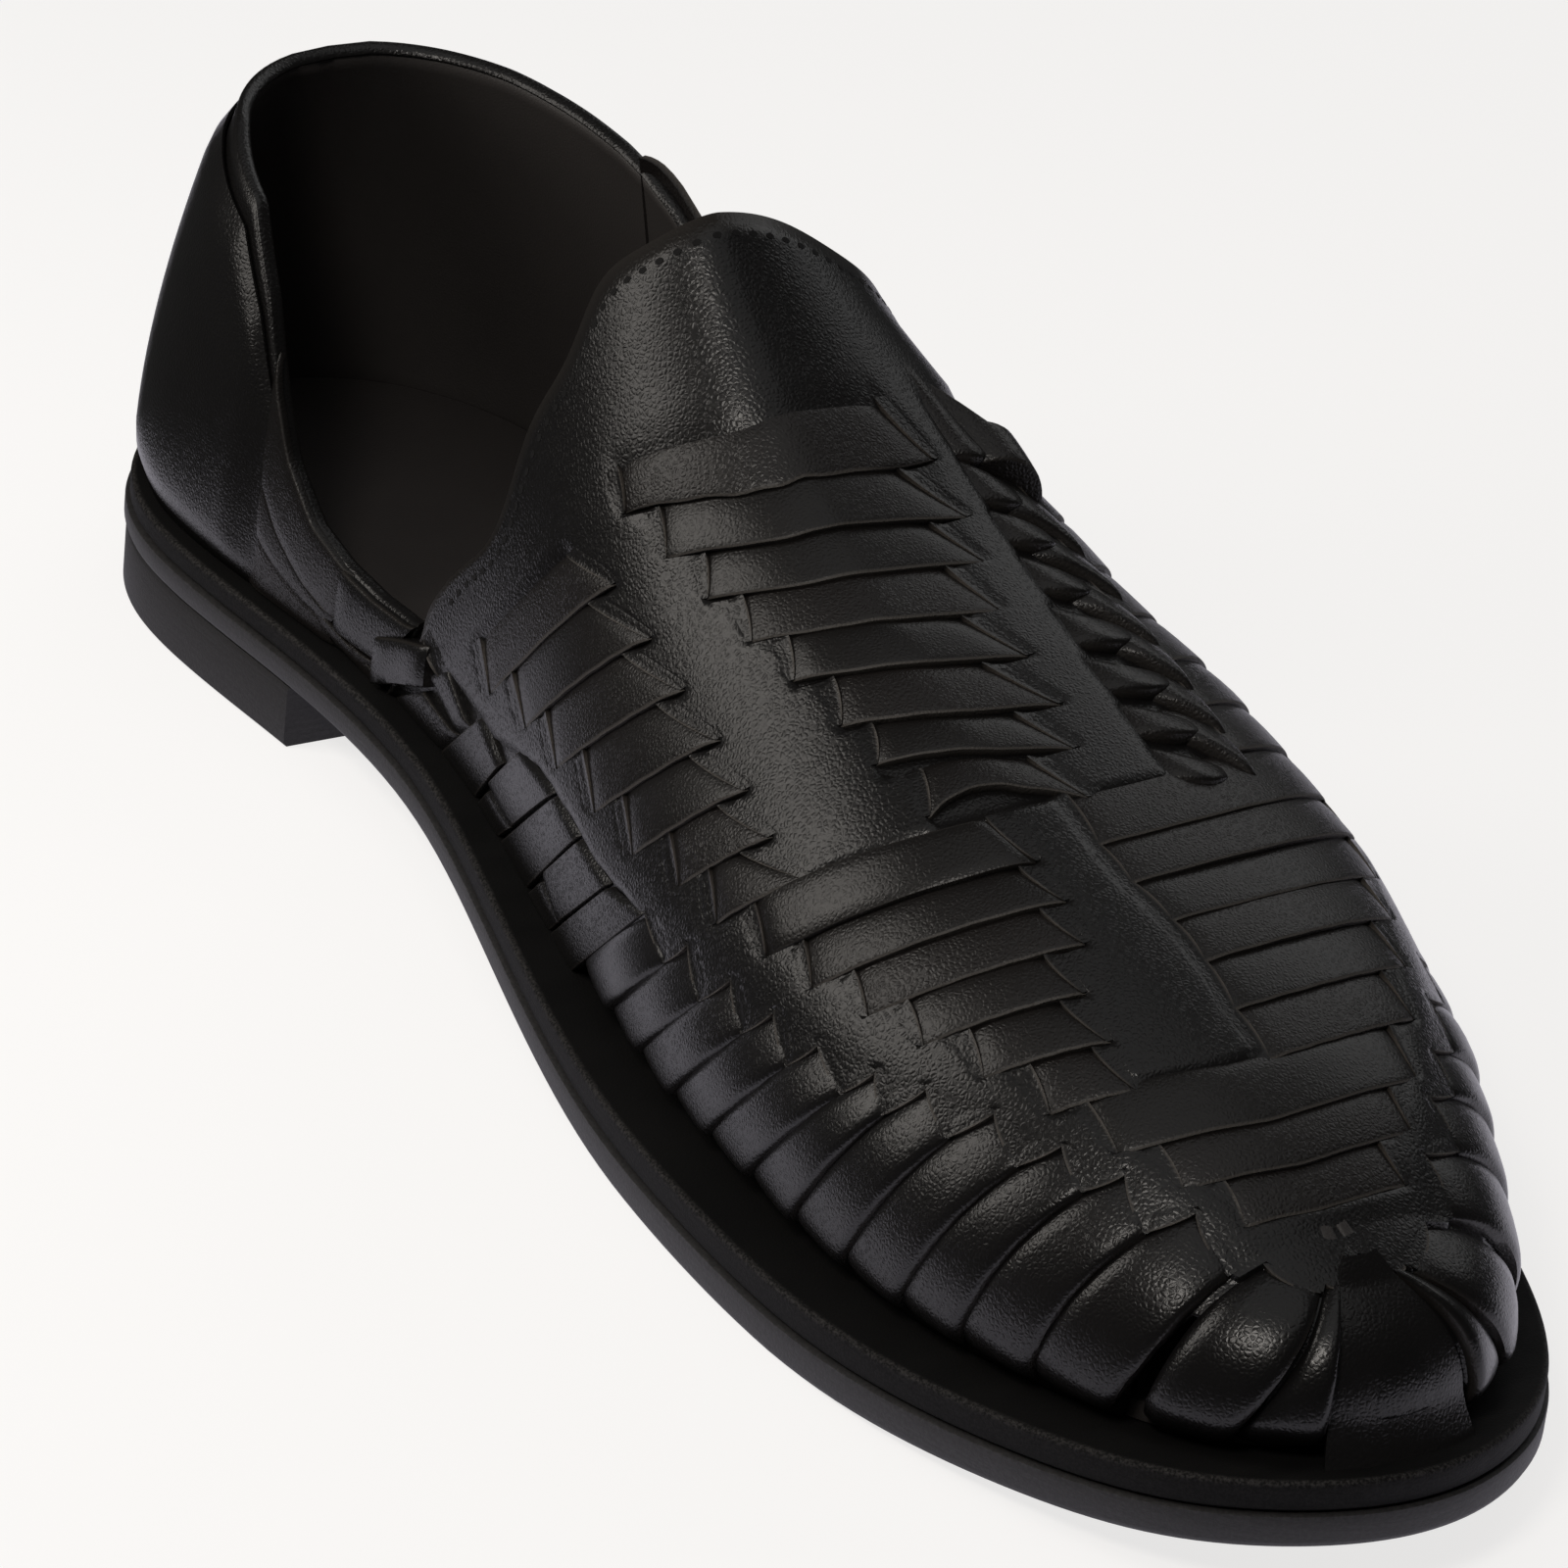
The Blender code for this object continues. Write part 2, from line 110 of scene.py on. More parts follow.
# Underside of the outsole with its arch and toe spring.
UNDERSIDE = table("x z", 2, [
    (0, 9.3), (40, 9.3), (75, 9.1), (110, 7.4), (150, 2.6), (180, 0.1), (200, 0), (222, 0), (250, 1.6),
    (275, 4.8), (292.5, 8.2)])

# Outsole and midsole together.
SOLE_THICK = table("x z", 2, [
    (0, 7.0), (75, 7.0), (140, 7.6), (190, 8.5), (292.5, 8.5)])

# Crest of the last over each station. Behind the throat it stands in for the ankle.
CREST = table("station x y z", 4, [
    (0, 58, 0, 135), (30, 58, 0, 135), (60, 62, -0.5, 132), (90, 94, -2, 115), (123, 123, -3.4, 94),
    (150, 150, -3.6, 73.5), (180, 180, -3.8, 61.6), (210, 210, -4, 53.6), (240, 240, -3.6, 46),
    (262, 262, -3.2, 38.2), (272, 270, -3, 34)])

# How high the side wall stands, how broad the crown is and how far the wall leans out, by side.
FULLNESS = table("station wall_inner crown_inner lean_inner wall_outer crown_outer lean_outer", 1, [
    (0, .34, .30, .03, .34, .30, .03), (30, .34, .30, .04, .34, .30, .05),
    (60, .36, .30, .06, .38, .30, .10), (90, .40, .32, .04, .46, .38, .14),
    (123, .42, .47, .05, .52, .44, .18), (150, .48, .43, .08, .66, .62, .27),
    (180, .54, .48, .10, .75, .72, .31), (210, .60, .54, .12, .79, .76, .31),
    (240, .64, .58, .14, .77, .73, .27), (262, .67, .60, .16, .71, .64, .20),
    (292.5, .70, .60, .16, .70, .60, .16)])

# Lines between strips: where each leaves the sole, where it would cross the crest and its swing forward.
LINES = table("foot crest swing line", 3, [
    (80.5, 101.5, -7.4, -1), (88, 123, 0, 0), (95.5, 144.5, 7.4, 1), (104, 151, 7.4, 2),
    (113, 159.5, 5, 3), (122, 168, 4, 4), (142, 186.5, 2.6, 6), (161.5, 203.5, 0.9, 8),
    (171, 213, 0, 9), (202, 233.5, 0, 12), (235.5, 255.5, 0, 15), (256.5, 268, 0, 17),
    (271.5, 276, 0, 18), (279.8, 282, 0, 19), (286.4, 287.4, 0, 20), (290.8, 291, 0, 21),
    (292.5, 292.5, 0, 22)])

# Height of the collar edge above the floor.
TOPLINE = table("x inner outer", 3, [
    (-5, 74, 74), (10, 74, 74), (30, 71.5, 73), (44, 66, 71.5), (52, 56, 70.5), (58, 45, 69),
    (63, 37, 66.8), (70, 30.8, 61.5), (77, 28.4, 53.5), (85, 27.4, 44), (93, 27.6, 36.5),
    (98, 29, 33.5), (120, 36, 36)])

LENGTH = float(OUTLINE["x"][-1])
GAP = 0.3 * MM
WALL = 1.8 * MM
LAST_LINE = 22.0
TOE_POLE = 272.0 * MM
TOE_SLOPE_STATION = 262.0 * MM
RISING_FOOT = -0.985
FIRST_RISING_LINE = 7.0
FADE_LINES = 0.2
SWING_FROM, SWING_OVER = 0.42, 0.46
COUNTER_FRONT = 59.0 * MM
TONE_LOW, TONE_HIGH = -0.25, 0.30
THROAT_FOOT = float(np.interp(0, LINES["line"], LINES["foot"]))
THROAT_LEAN = float(np.interp(0, LINES["line"], LINES["crest"])) - THROAT_FOOT

# Edge of the throat tab: the line where the hide begins, further forward over each hollow of the throat.
TAB_EDGE = table("over line", 0, [
    (-1, .22), (-.94, .22), (-.90, .20), (-.875, .09), (-.84, .06), (-.795, .13), (-.745, .26),
    (-.67, .18), (-.58, -.03), (-.48, -.07), (-.37, -.18), (-.26, -.12), (-.16, -.06), (0, -.03),
    (.16, 0), (.28, .05), (.40, .04), (.56, .02), (.66, .12), (.745, .24), (.80, .16), (.87, .04),
    (1, 0)])

# Strips of the vamp by level: (line, over) at the upper and lower corner of each end.
CORNERS = "start_line start_over low_start_line low_start_over end_line end_over low_end_line low_end_over"
START_CORNERS = CORNERS.split()[:4]
END_CORNERS = CORNERS.split()[4:]
RISING_TOP_CORNERS = ("top", "over", "low_top", "low_over")

# Short slanted strips between the border band and the middle band of the inner side.
SIDE_STRIPS = table(CORNERS, 0, [
    (1.0, -.825, 1.95, -.860, 1.12, -.605, 2.05, -.545),
    (2.0, -.800, 2.95, -.825, 2.12, -.600, 3.05, -.520),
    (3.0, -.770, 3.95, -.800, 3.12, -.575, 4.05, -.505),
    (4.0, -.730, 4.95, -.765, 4.12, -.555, 5.05, -.490),
    (5.0, -.695, 5.95, -.735, 5.12, -.545, 6.05, -.495),
    (6.0, -.650, 6.95, -.690, 6.12, -.548, 7.05, -.505),
    (7.0, -.625, 7.95, -.670, 7.12, -.560, 8.05, -.495)])

# Long strips over the instep, and how far in lines each lower edge bows, below 0 towards the throat.
INSTEP_STRIPS = table(CORNERS, 0, [
    (0.72, -.445, 1.00, -.465, 0.72, .155, 1.02, .200),
    (1.06, -.395, 1.95, -.420, 1.06, .125, 2.22, .187),
    (2.00, -.345, 2.75, -.375, 2.24, .122, 3.25, .162),
    (2.86, -.310, 3.70, -.335, 3.27, .100, 4.28, .130),
    (3.78, -.265, 4.58, -.300, 4.30, .073, 5.18, .115),
    (4.78, -.230, 5.60, -.268, 5.22, .055, 6.18, .110),
    (5.76, -.215, 6.50, -.250, 6.22, .050, 7.13, .088),
    (6.85, -.180, 7.75, -.220, 7.15, .028, 8.12, .062)])
INSTEP_BOW = (-.04, -.18, 0, 0, 0, 0, -.10, -.42)

# Beyond the outer band: short pointed strips, the row that slants over their ends, a loose loop.
POINTED_STRIPS = table(CORNERS, 0, [
    (0.45, .270, 1.15, .264, 1.15, .335, 1.42, .325), (1.20, .262, 2.10, .258, 2.20, .350, 2.48, .330),
    (2.25, .252, 3.05, .248, 3.12, .345, 3.38, .330), (3.30, .242, 4.10, .238, 4.10, .330, 4.38, .318),
    (4.40, .222, 5.20, .218, 5.12, .330, 5.42, .316), (5.45, .205, 6.20, .210, 6.15, .325, 6.46, .312),
    (6.45, .205, 7.20, .205, 7.20, .312, 7.50, .300), (7.45, .200, 8.20, .205, 8.15, .295, 8.45, .280)])
SLANTED_STRIPS = table(CORNERS, 0, [
    (1.75, .310, 2.50, .300, 3.05, .420, 3.80, .405), (2.75, .300, 3.50, .292, 4.00, .410, 4.70, .395),
    (3.80, .290, 4.55, .285, 4.95, .385, 5.70, .370), (4.80, .280, 5.50, .275, 5.95, .375, 6.65, .360),
    (5.80, .280, 6.55, .275, 6.95, .370, 7.65, .355), (6.75, .270, 7.45, .265, 7.90, .365, 8.60, .350)])
LOOSE_LOOP = table(CORNERS, 0, [
    (0.75, .312, 1.40, .300, 1.95, .425, 2.60, .402)])
OUTER_STRIPS = table(CORNERS, 0, [
    (0.90, .385, 1.90, .400, 1.00, .825, 1.95, .860), (1.85, .350, 2.85, .375, 2.00, .800, 2.95, .825),
    (2.80, .345, 3.85, .365, 3.00, .770, 3.95, .800), (3.80, .335, 4.85, .350, 4.00, .730, 4.95, .765),
    (4.80, .325, 5.85, .345, 5.00, .695, 5.95, .735), (5.80, .325, 6.85, .340, 6.00, .650, 6.95, .690),
    (6.80, .320, 7.90, .340, 7.00, .625, 7.95, .670)])

# Second level, in front of the middle band, on the inner and the outer side of the smooth centre.
FRONT_INNER_STRIPS = table(CORNERS, 0, [
    (8.0, -.590, 8.95, -.635, 8.12, -.125, 9.05, -.090),
    (9.0, -.560, 9.95, -.605, 9.12, -.130, 10.05, -.095),
    (10.0, -.520, 10.95, -.555, 10.12, -.150, 11.05, -.120),
    (11.0, -.475, 11.95, -.510, 11.12, -.205, 12.05, -.190),
    (12.0, -.420, 12.95, -.465, 12.12, -.240, 13.05, -.215),
    (13.0, -.375, 13.95, -.415, 13.12, -.250, 14.0, -.235)])
FRONT_OUTER_STRIPS = table(CORNERS, 0, [
    (8.0, .040, 9.0, .035, 8.0, .590, 8.95, .635), (9.0, .035, 10.0, .040, 9.0, .560, 9.95, .605),
    (10.0, .040, 11.0, .055, 10.0, .520, 10.95, .555),
    (11.0, .055, 12.0, .060, 11.0, .475, 11.95, .510),
    (12.0, .060, 13.0, .055, 12.0, .420, 12.95, .465),
    (13.0, .055, 14.0, .060, 13.0, .375, 13.95, .415)])

# Strips right across in front of the smooth centre.
TOE_STRIPS = table(CORNERS, 0, [
    (13.8, -.335, 15.0, -.365, 14.0, .335, 15.0, .365),
    (15.0, -.275, 16.0, -.300, 15.0, .275, 16.0, .300),
    (16.0, -.200, 17.0, -.230, 16.0, .200, 17.0, .230)])

# Strips that rise from the sole to the border band: lines at the sole, then both corners of the upper end.
RISING_STRIPS = table("sole low_sole top over low_top low_over", 0, [
    (7, 8, 7, -.775, 8, -.800), (8, 9, 8, -.740, 9, -.790), (9, 10, 9, -.715, 10, -.765),
    (10, 11, 10, -.690, 11, -.740), (11, 12, 11, -.665, 12, -.695), (12, 13, 12, -.615, 12.7, -.665),
    (13, 14, 12.7, -.565, 13.6, -.605), (14, 15, 13.6, -.500, 14.55, -.550),
    (15, 16, 14.55, -.445, 15.4, -.490), (16, 17.02, 15.4, -.385, 16.5, -.455),
    (17.05, 17.70, 16.5, -.315, 17.6, -.370), (18.12, 19.22, 17.9, -.270, 19.95, -.300),
    (19.50, 20.62, 20.15, -.255, 20.7, -.255)])
RISING_BOW = (0,) * 10 + (.13, .20, 0)

# Open slots between the strips at the toe: lines and least distance from the crest.
TOE_SLOTS = ((17.76, 18.20, .54), (19.42, 19.72, .62), (20.68, 20.92, .66))

# Basket blocks over the sole beside the arch, where strips go over and under, and the top of their row.
BASKET_BLOCKS = table(CORNERS, 0, [
    (.90, -.955, .50, -.995, 1.92, -.960, 1.95, -1.0),
    (1.00, -.903, .80, -.932, 2.00, -.928, 1.90, -.953),
    (2.02, -1.0, 3.22, -1.0, 2.15, -.903, 3.12, -.918),
    (3.18, -.956, 4.18, -.960, 3.20, -.862, 4.28, -.834),
    (4.22, -1.0, 5.22, -1.0, 4.32, -.834, 5.14, -.828),
    (5.20, -.940, 6.10, -.965, 5.18, -.828, 6.14, -.818),
    (6.15, -1.0, 6.98, -1.0, 6.17, -.822, 7.00, -.780),
    (3.32, -1.0, 4.14, -1.0, 3.30, -.970, 4.18, -.966),
    (5.30, -1.0, 6.10, -1.0, 5.30, -.962, 6.10, -.967)])
BASKET_TOP = table("line over", 0, [
    (0, -.93), (.2, -.900), (.8, -.917), (1.4, -.912), (2.6, -.908), (3.7, -.846), (4.7, -.830),
    (5.7, -.822), (6.6, -.800)])

# Loop that holds the strap at the inner side of the throat.
STRAP_LOOP = table(CORNERS, 0, [
    (-.50, -.940, -.12, -.998, .38, -.900, .78, -.952)])

# Rolled edge of the tab's lower corner, as the upper and lower end of a slit.
TAB_CORNER = np.array([[(.26, -.898), (.95, -.918)]])

# Middle strip at the tip of the toe, by (aside, share).
TOE_TIP = np.array([[(-1.05, .015), (1.05, .015), (-1.05, .74), (1.05, .74)]])


def spline(at: Array | float, xs: Array, ys: Array) -> Array:
    """Natural cubic spline: cubic pieces through (xs, ys) with even slope and bend, straight at both ends.

    Args:
        at: places to read.
        xs: rising places of the points.
        ys: values at the points.

    Returns:
        Values of the curve at the places.
    """
    at = np.asarray(at, float)
    gaps = np.diff(xs)
    count = len(xs)
    system = np.eye(count)
    right = np.zeros(count)
    for i in range(1, count - 1):
        system[i, i - 1:i + 2] = gaps[i - 1], 2 * (gaps[i - 1] + gaps[i]), gaps[i]
        right[i] = 6 * ((ys[i + 1] - ys[i]) / gaps[i] - (ys[i] - ys[i - 1]) / gaps[i - 1])
    bend = np.linalg.solve(system, right)
    i = np.clip(np.searchsorted(xs, at) - 1, 0, count - 2)
    before, after, gap = at - xs[i], xs[i + 1] - at, gaps[i]
    curve = (bend[i] * after ** 3 + bend[i + 1] * before ** 3) / (6 * gap)
    falling = (ys[i] / gap - bend[i] * gap / 6) * after
    return curve + falling + (ys[i + 1] / gap - bend[i + 1] * gap / 6) * before


def ease(amount: Array | float) -> Array:
    """Smooth step: 0 below 0, 1 above 1 and 3a^2 - 2a^3 between."""
    held = np.clip(amount, 0, 1)
    return held * held * (3 - 2 * held)


class Last:
    """Form of the foot that the shoe is made over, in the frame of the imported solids."""

    def __init__(self, low: Array, high: Array) -> None:
        """Finds the shift from stations to the frame.

        Args:
            low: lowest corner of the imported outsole.
            high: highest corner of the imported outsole.
        """
        runs = np.linspace(0, 1, 31)
        widest = self.outline(Side.OUTER, runs)[:, 1].max()
        self.shift = np.array([low[0], high[1] - widest, 0.0])

    @staticmethod
    def turn(station: Array | float) -> Array:
        """Run along the outline, 0 at the heel and 1 at the toe, that goes evenly round both ends."""
        return np.arccos(np.clip(1 - 2 * np.asarray(station, float) / LENGTH, -1, 1)) / np.pi

    @classmethod
    def outline(cls, side: Side, run: Array) -> Array:
        """Edge of the outsole in plan: the spline of the outline's table over the run."""
        x = LENGTH * (1 - np.cos(np.pi * run)) / 2
        return np.stack([x, spline(run, cls.turn(OUTLINE["x"]), OUTLINE[side.column])], -1)

    @classmethod
    def inset_outline(cls, side: Side, run: Array, inset: Array | float) -> Array:
        """Outline moved inwards by the inset, square to its own direction.

        Args:
            side: side of the foot.
            run: runs along the outline.
            inset: distance inwards at each run.

        Returns:
            Points in plan.
        """
        ahead, behind = np.clip(run + 1e-4, 0, 1), np.clip(run - 1e-4, 0, 1)
        tangent = cls.outline(side, ahead) - cls.outline(side, behind)
        tangent /= np.linalg.norm(tangent, axis=-1, keepdims=True)
        inward = np.stack([-tangent[..., 1], tangent[..., 0]], -1) * -side.value
        return cls.outline(side, run) + inward * np.asarray(inset)[..., None]

    @staticmethod
    def sole_height(x: Array, share: float) -> Array:
        """Height at a share of the sole, from its underside (0) to the top of the midsole (1)."""
        under = np.maximum(spline(x, UNDERSIDE["x"], UNDERSIDE["z"]), 0)
        return under + share * spline(x, SOLE_THICK["x"], SOLE_THICK["z"])

    @classmethod
    def feather(cls, side: Side, station: Array) -> Array:
        """Line where the upper meets the top of the midsole."""
        inset = np.interp(station, OUTLINE["x"], OUTLINE["inset"])
        plan = cls.inset_outline(side, cls.turn(station), inset)
        return np.concatenate([plan, (cls.sole_height(plan[..., 0], 1) + GAP)[..., None]], -1)

    @staticmethod
    def crest(station: Array) -> Array:
        """Highest line of the last, which ends in a pole over the toe."""
        held = np.minimum(station, TOE_POLE)
        return np.stack([spline(held, CREST["station"], CREST[axis]) for axis in "xyz"], -1)

    @classmethod
    def section(cls, side: Side, station: Array, share: Array) -> Array:
        """Point of a section: a cubic Bezier curve from the feather line up and round to the crest.

        Args:
            side: side of the foot.
            station: station of the section.
            share: share of the way from the sole (0) to the crest (1).

        Returns:
            Points in stations.
        """
        share = np.asarray(share, float)[..., None]
        foot, top = cls.feather(side, station), cls.crest(station)
        columns = (FULLNESS[f"{name}_{side.column}"] for name in ("wall", "crown", "lean"))
        wall, crown, lean = (np.interp(station, FULLNESS["station"], column)[..., None]
                             for column in columns)
        plan = foot[..., :2] - top[..., :2]
        reach = np.linalg.norm(plan, axis=-1, keepdims=True)
        away = plan / reach
        rise = (top[..., 2] - foot[..., 2])[..., None]
        held = np.minimum(station, TOE_SLOPE_STATION)
        slope = ((cls.crest(held + MM)[..., 2] - cls.crest(held - MM)[..., 2]) / (2 * MM))[..., None]
        low = foot + wall * rise * np.concatenate([lean * away, np.ones_like(reach)], -1)
        high = top + crown * reach * np.concatenate([away, away[..., :1] * slope], -1)
        rest = 1 - share
        ends = rest ** 3 * foot + share ** 3 * top
        return ends + 3 * rest ** 2 * share * low + 3 * rest * share ** 2 * high


class Surface(Protocol):
    """Face that strips can be laid on, read at two coordinates."""

    def point(self, first: Array, second: Array) -> Array:
        """Point of the face in the frame."""

    def at(self, first: Array, second: Array, height: Array | float) -> Array:
        """Point at a height off the face."""


def raised(surface: Surface, first: Array, second: Array, height: Array | float, spans: tuple[float, float],
           limits: tuple[float, float, float, float], sign: Array | float = 1.0) -> Array:
    """Point of a face moved along its normal, which is the cross product of its two slopes.

    Args:
        surface: the face.
        first: first coordinates.
        second: second coordinates.
        height: distance off the face.
        spans: small steps of both coordinates for the slopes.
        limits: lowest and highest first, lowest and highest second coordinate.
        sign: turns the normal outwards.

    Returns:
        Points in the frame.
    """
    ahead, behind = np.minimum(first + spans[0], limits[1]), np.maximum(first - spans[0], limits[0])
    above, below = np.minimum(second + spans[1], limits[3]), np.maximum(second - spans[1], limits[2])
    along = surface.point(ahead, second) - surface.point(behind, second)
    across = surface.point(first, above) - surface.point(first, below)
    normal = np.cross(along, across)
    normal /= np.maximum(np.linalg.norm(normal, axis=-1, keepdims=True), 1e-15)
    return surface.point(first, second) + normal * (np.asarray(height) * sign)[..., None]


@dataclass
class WovenFace:
    """Front of the upper, read at (line, over)."""

    last: Last

    def point(self, first: Array, second: Array) -> Array:
        """Point along a line that leans forward as it rises, on the section of its station."""
        line, over = np.broadcast_arrays(first, second)
        share = 1 - np.abs(over)
        columns = (LINES[name] for name in ("foot", "crest", "swing"))
        foot, top, swing = (np.interp(line, LINES["line"], column) for column in columns)
        station = foot + (top - foot) * (1 - over ** 2) + swing * ease((share - SWING_FROM) / SWING_OVER)
        inner = self.last.section(Side.INNER, station, share)
        outer = self.last.section(Side.OUTER, station, share)
        on_inner = (over <= 0) | (line >= LAST_LINE)
        return np.where(on_inner[..., None], inner, outer) + self.last.shift

    def at(self, first: Array, second: Array, height: Array | float) -> Array:
        """Point at a height off the face. At the toe's pole the normal is read a little beside it."""
        line, over = np.broadcast_arrays(np.asarray(first, float), np.asarray(second, float))
        aside = np.where(over < 0, np.minimum(over, -.03), np.maximum(over, .03))
        near_pole = ease((line - 16.5) / 1.5)
        beside = over + (aside - over) * near_pole
        moved = raised(self, line, beside, height, (.04, .004), (-1, LAST_LINE - 1e-6, -1, 1))
        return self.point(line, over) + moved - self.point(line, beside)


@dataclass
class ToeFace:
    """Tip of the toe, read at (aside, share): lines from the middle of the toe, inner side below 0."""

    woven: WovenFace

    def point(self, first: Array, second: Array) -> Array:
        """Point of the woven face at the mirrored line."""
        over = np.where(first < 0, -1.0, 1.0) * (1 - np.asarray(second))
        return self.woven.point(LAST_LINE - np.abs(first), over)

    def at(self, first: Array, second: Array, height: Array | float) -> Array:
        """Point at a height along the normal. Known fault: with this sign the height runs inwards."""
        first, second = np.broadcast_arrays(first, second)
        return raised(self, first, second, height, (.1, .01), (-4, 4, 0, .97), -1.0)


@dataclass
class RearFace:
    """Rear wall of one side, read at (foot, share)."""

    last: Last
    side: Side
    feet: Array = field(init=False)
    tops: Array = field(init=False)

    def __post_init__(self) -> None:
        """Finds the share of each section where the wall meets the collar edge."""
        self.feet = np.linspace(0, THROAT_FOOT, 120)
        shares = np.linspace(0, .7, 300)
        rising = self.leaning(self.feet[:, None], shares[None, :])
        over = rising[..., 2] - np.interp(rising[..., 0], TOPLINE["x"], TOPLINE[self.side.column])
        first = np.argmax(over > 0, axis=1)
        rows = np.arange(len(self.feet))
        before, after = over[rows, first - 1], over[rows, first]
        self.tops = shares[first - 1] - before / (after - before) * (shares[1] - shares[0])

    def leaning(self, foot: Array, share: Array) -> Array:
        """Point in stations of a section that leans forward near the throat, as the first strip does."""
        foot, share = np.broadcast_arrays(foot, share)
        lean = np.interp(foot, (COUNTER_FRONT, THROAT_FOOT), (0, THROAT_LEAN))
        return self.last.section(self.side, foot + lean * (1 - (1 - share) ** 2), share)

    def point(self, first: Array, second: Array) -> Array:
        """Point at a share of the way up to the collar edge."""
        share = np.interp(first, self.feet, self.tops) * second
        return self.leaning(np.asarray(first, float), share) + self.last.shift

    def at(self, first: Array, second: Array, height: Array | float) -> Array:
        """Point at a height off the wall."""
        first, second = np.broadcast_arrays(np.asarray(first, float), np.asarray(second, float))
        limits = (1e-5, THROAT_FOOT, 0, 1.2)
        return raised(self, first, second, height, (.3 * MM, .01), limits, -float(self.side.value))


def linear(colour: str) -> tuple[float, float, float, float]:
    """Linear colour of an sRGB hex value."""
    shades = [int(colour[i:i + 2], 16) / 255 for i in (1, 3, 5)]
    red, green, blue = (s / 12.92 if s <= .04045 else ((s + .055) / 1.055) ** 2.4 for s in shades)
    return red, green, blue, 1.0


def set_values(node: bpy.types.Node, values: dict[str | int, object]) -> None:
    """Sets values by property name, or by the name or number of an input."""
    for name, value in values.items():
        if isinstance(name, str) and hasattr(node, name):
            setattr(node, name, value)
        else:
            node.inputs[name].default_value = value


def add_node(tree: bpy.types.NodeTree, kind: str, settings: dict[str | int, object],
             links: dict[str | int, bpy.types.NodeSocket] | None = None) -> bpy.types.Node:
    """Adds a node with its settings and links.

    Args:
        tree: node tree of the material.
        kind: Blender's name of the node.
        settings: values by property name, or by the name or number of an input.
        links: sockets that feed the inputs, by input name or number.

    Returns:
        The node.
    """
    node = tree.nodes.new(kind)
    set_values(node, settings)
    for name, socket in (links or {}).items():
        tree.links.new(socket, node.inputs[name])
    return node


def new_finish(name: str) -> tuple[Finish, bpy.types.NodeTree, bpy.types.Node]:
    """New material with its node tree and its shader."""
    made = bpy.data.materials.new(name)
    made.use_nodes = True
    return made, made.node_tree, made.node_tree.nodes["Principled BSDF"]


def placed(name: str, data: bpy.types.ID) -> bpy.types.Object:
    """New object with its data, linked into the scene."""
    made = bpy.data.objects.new(name, data)
    bpy.context.scene.collection.objects.link(made)
    return made


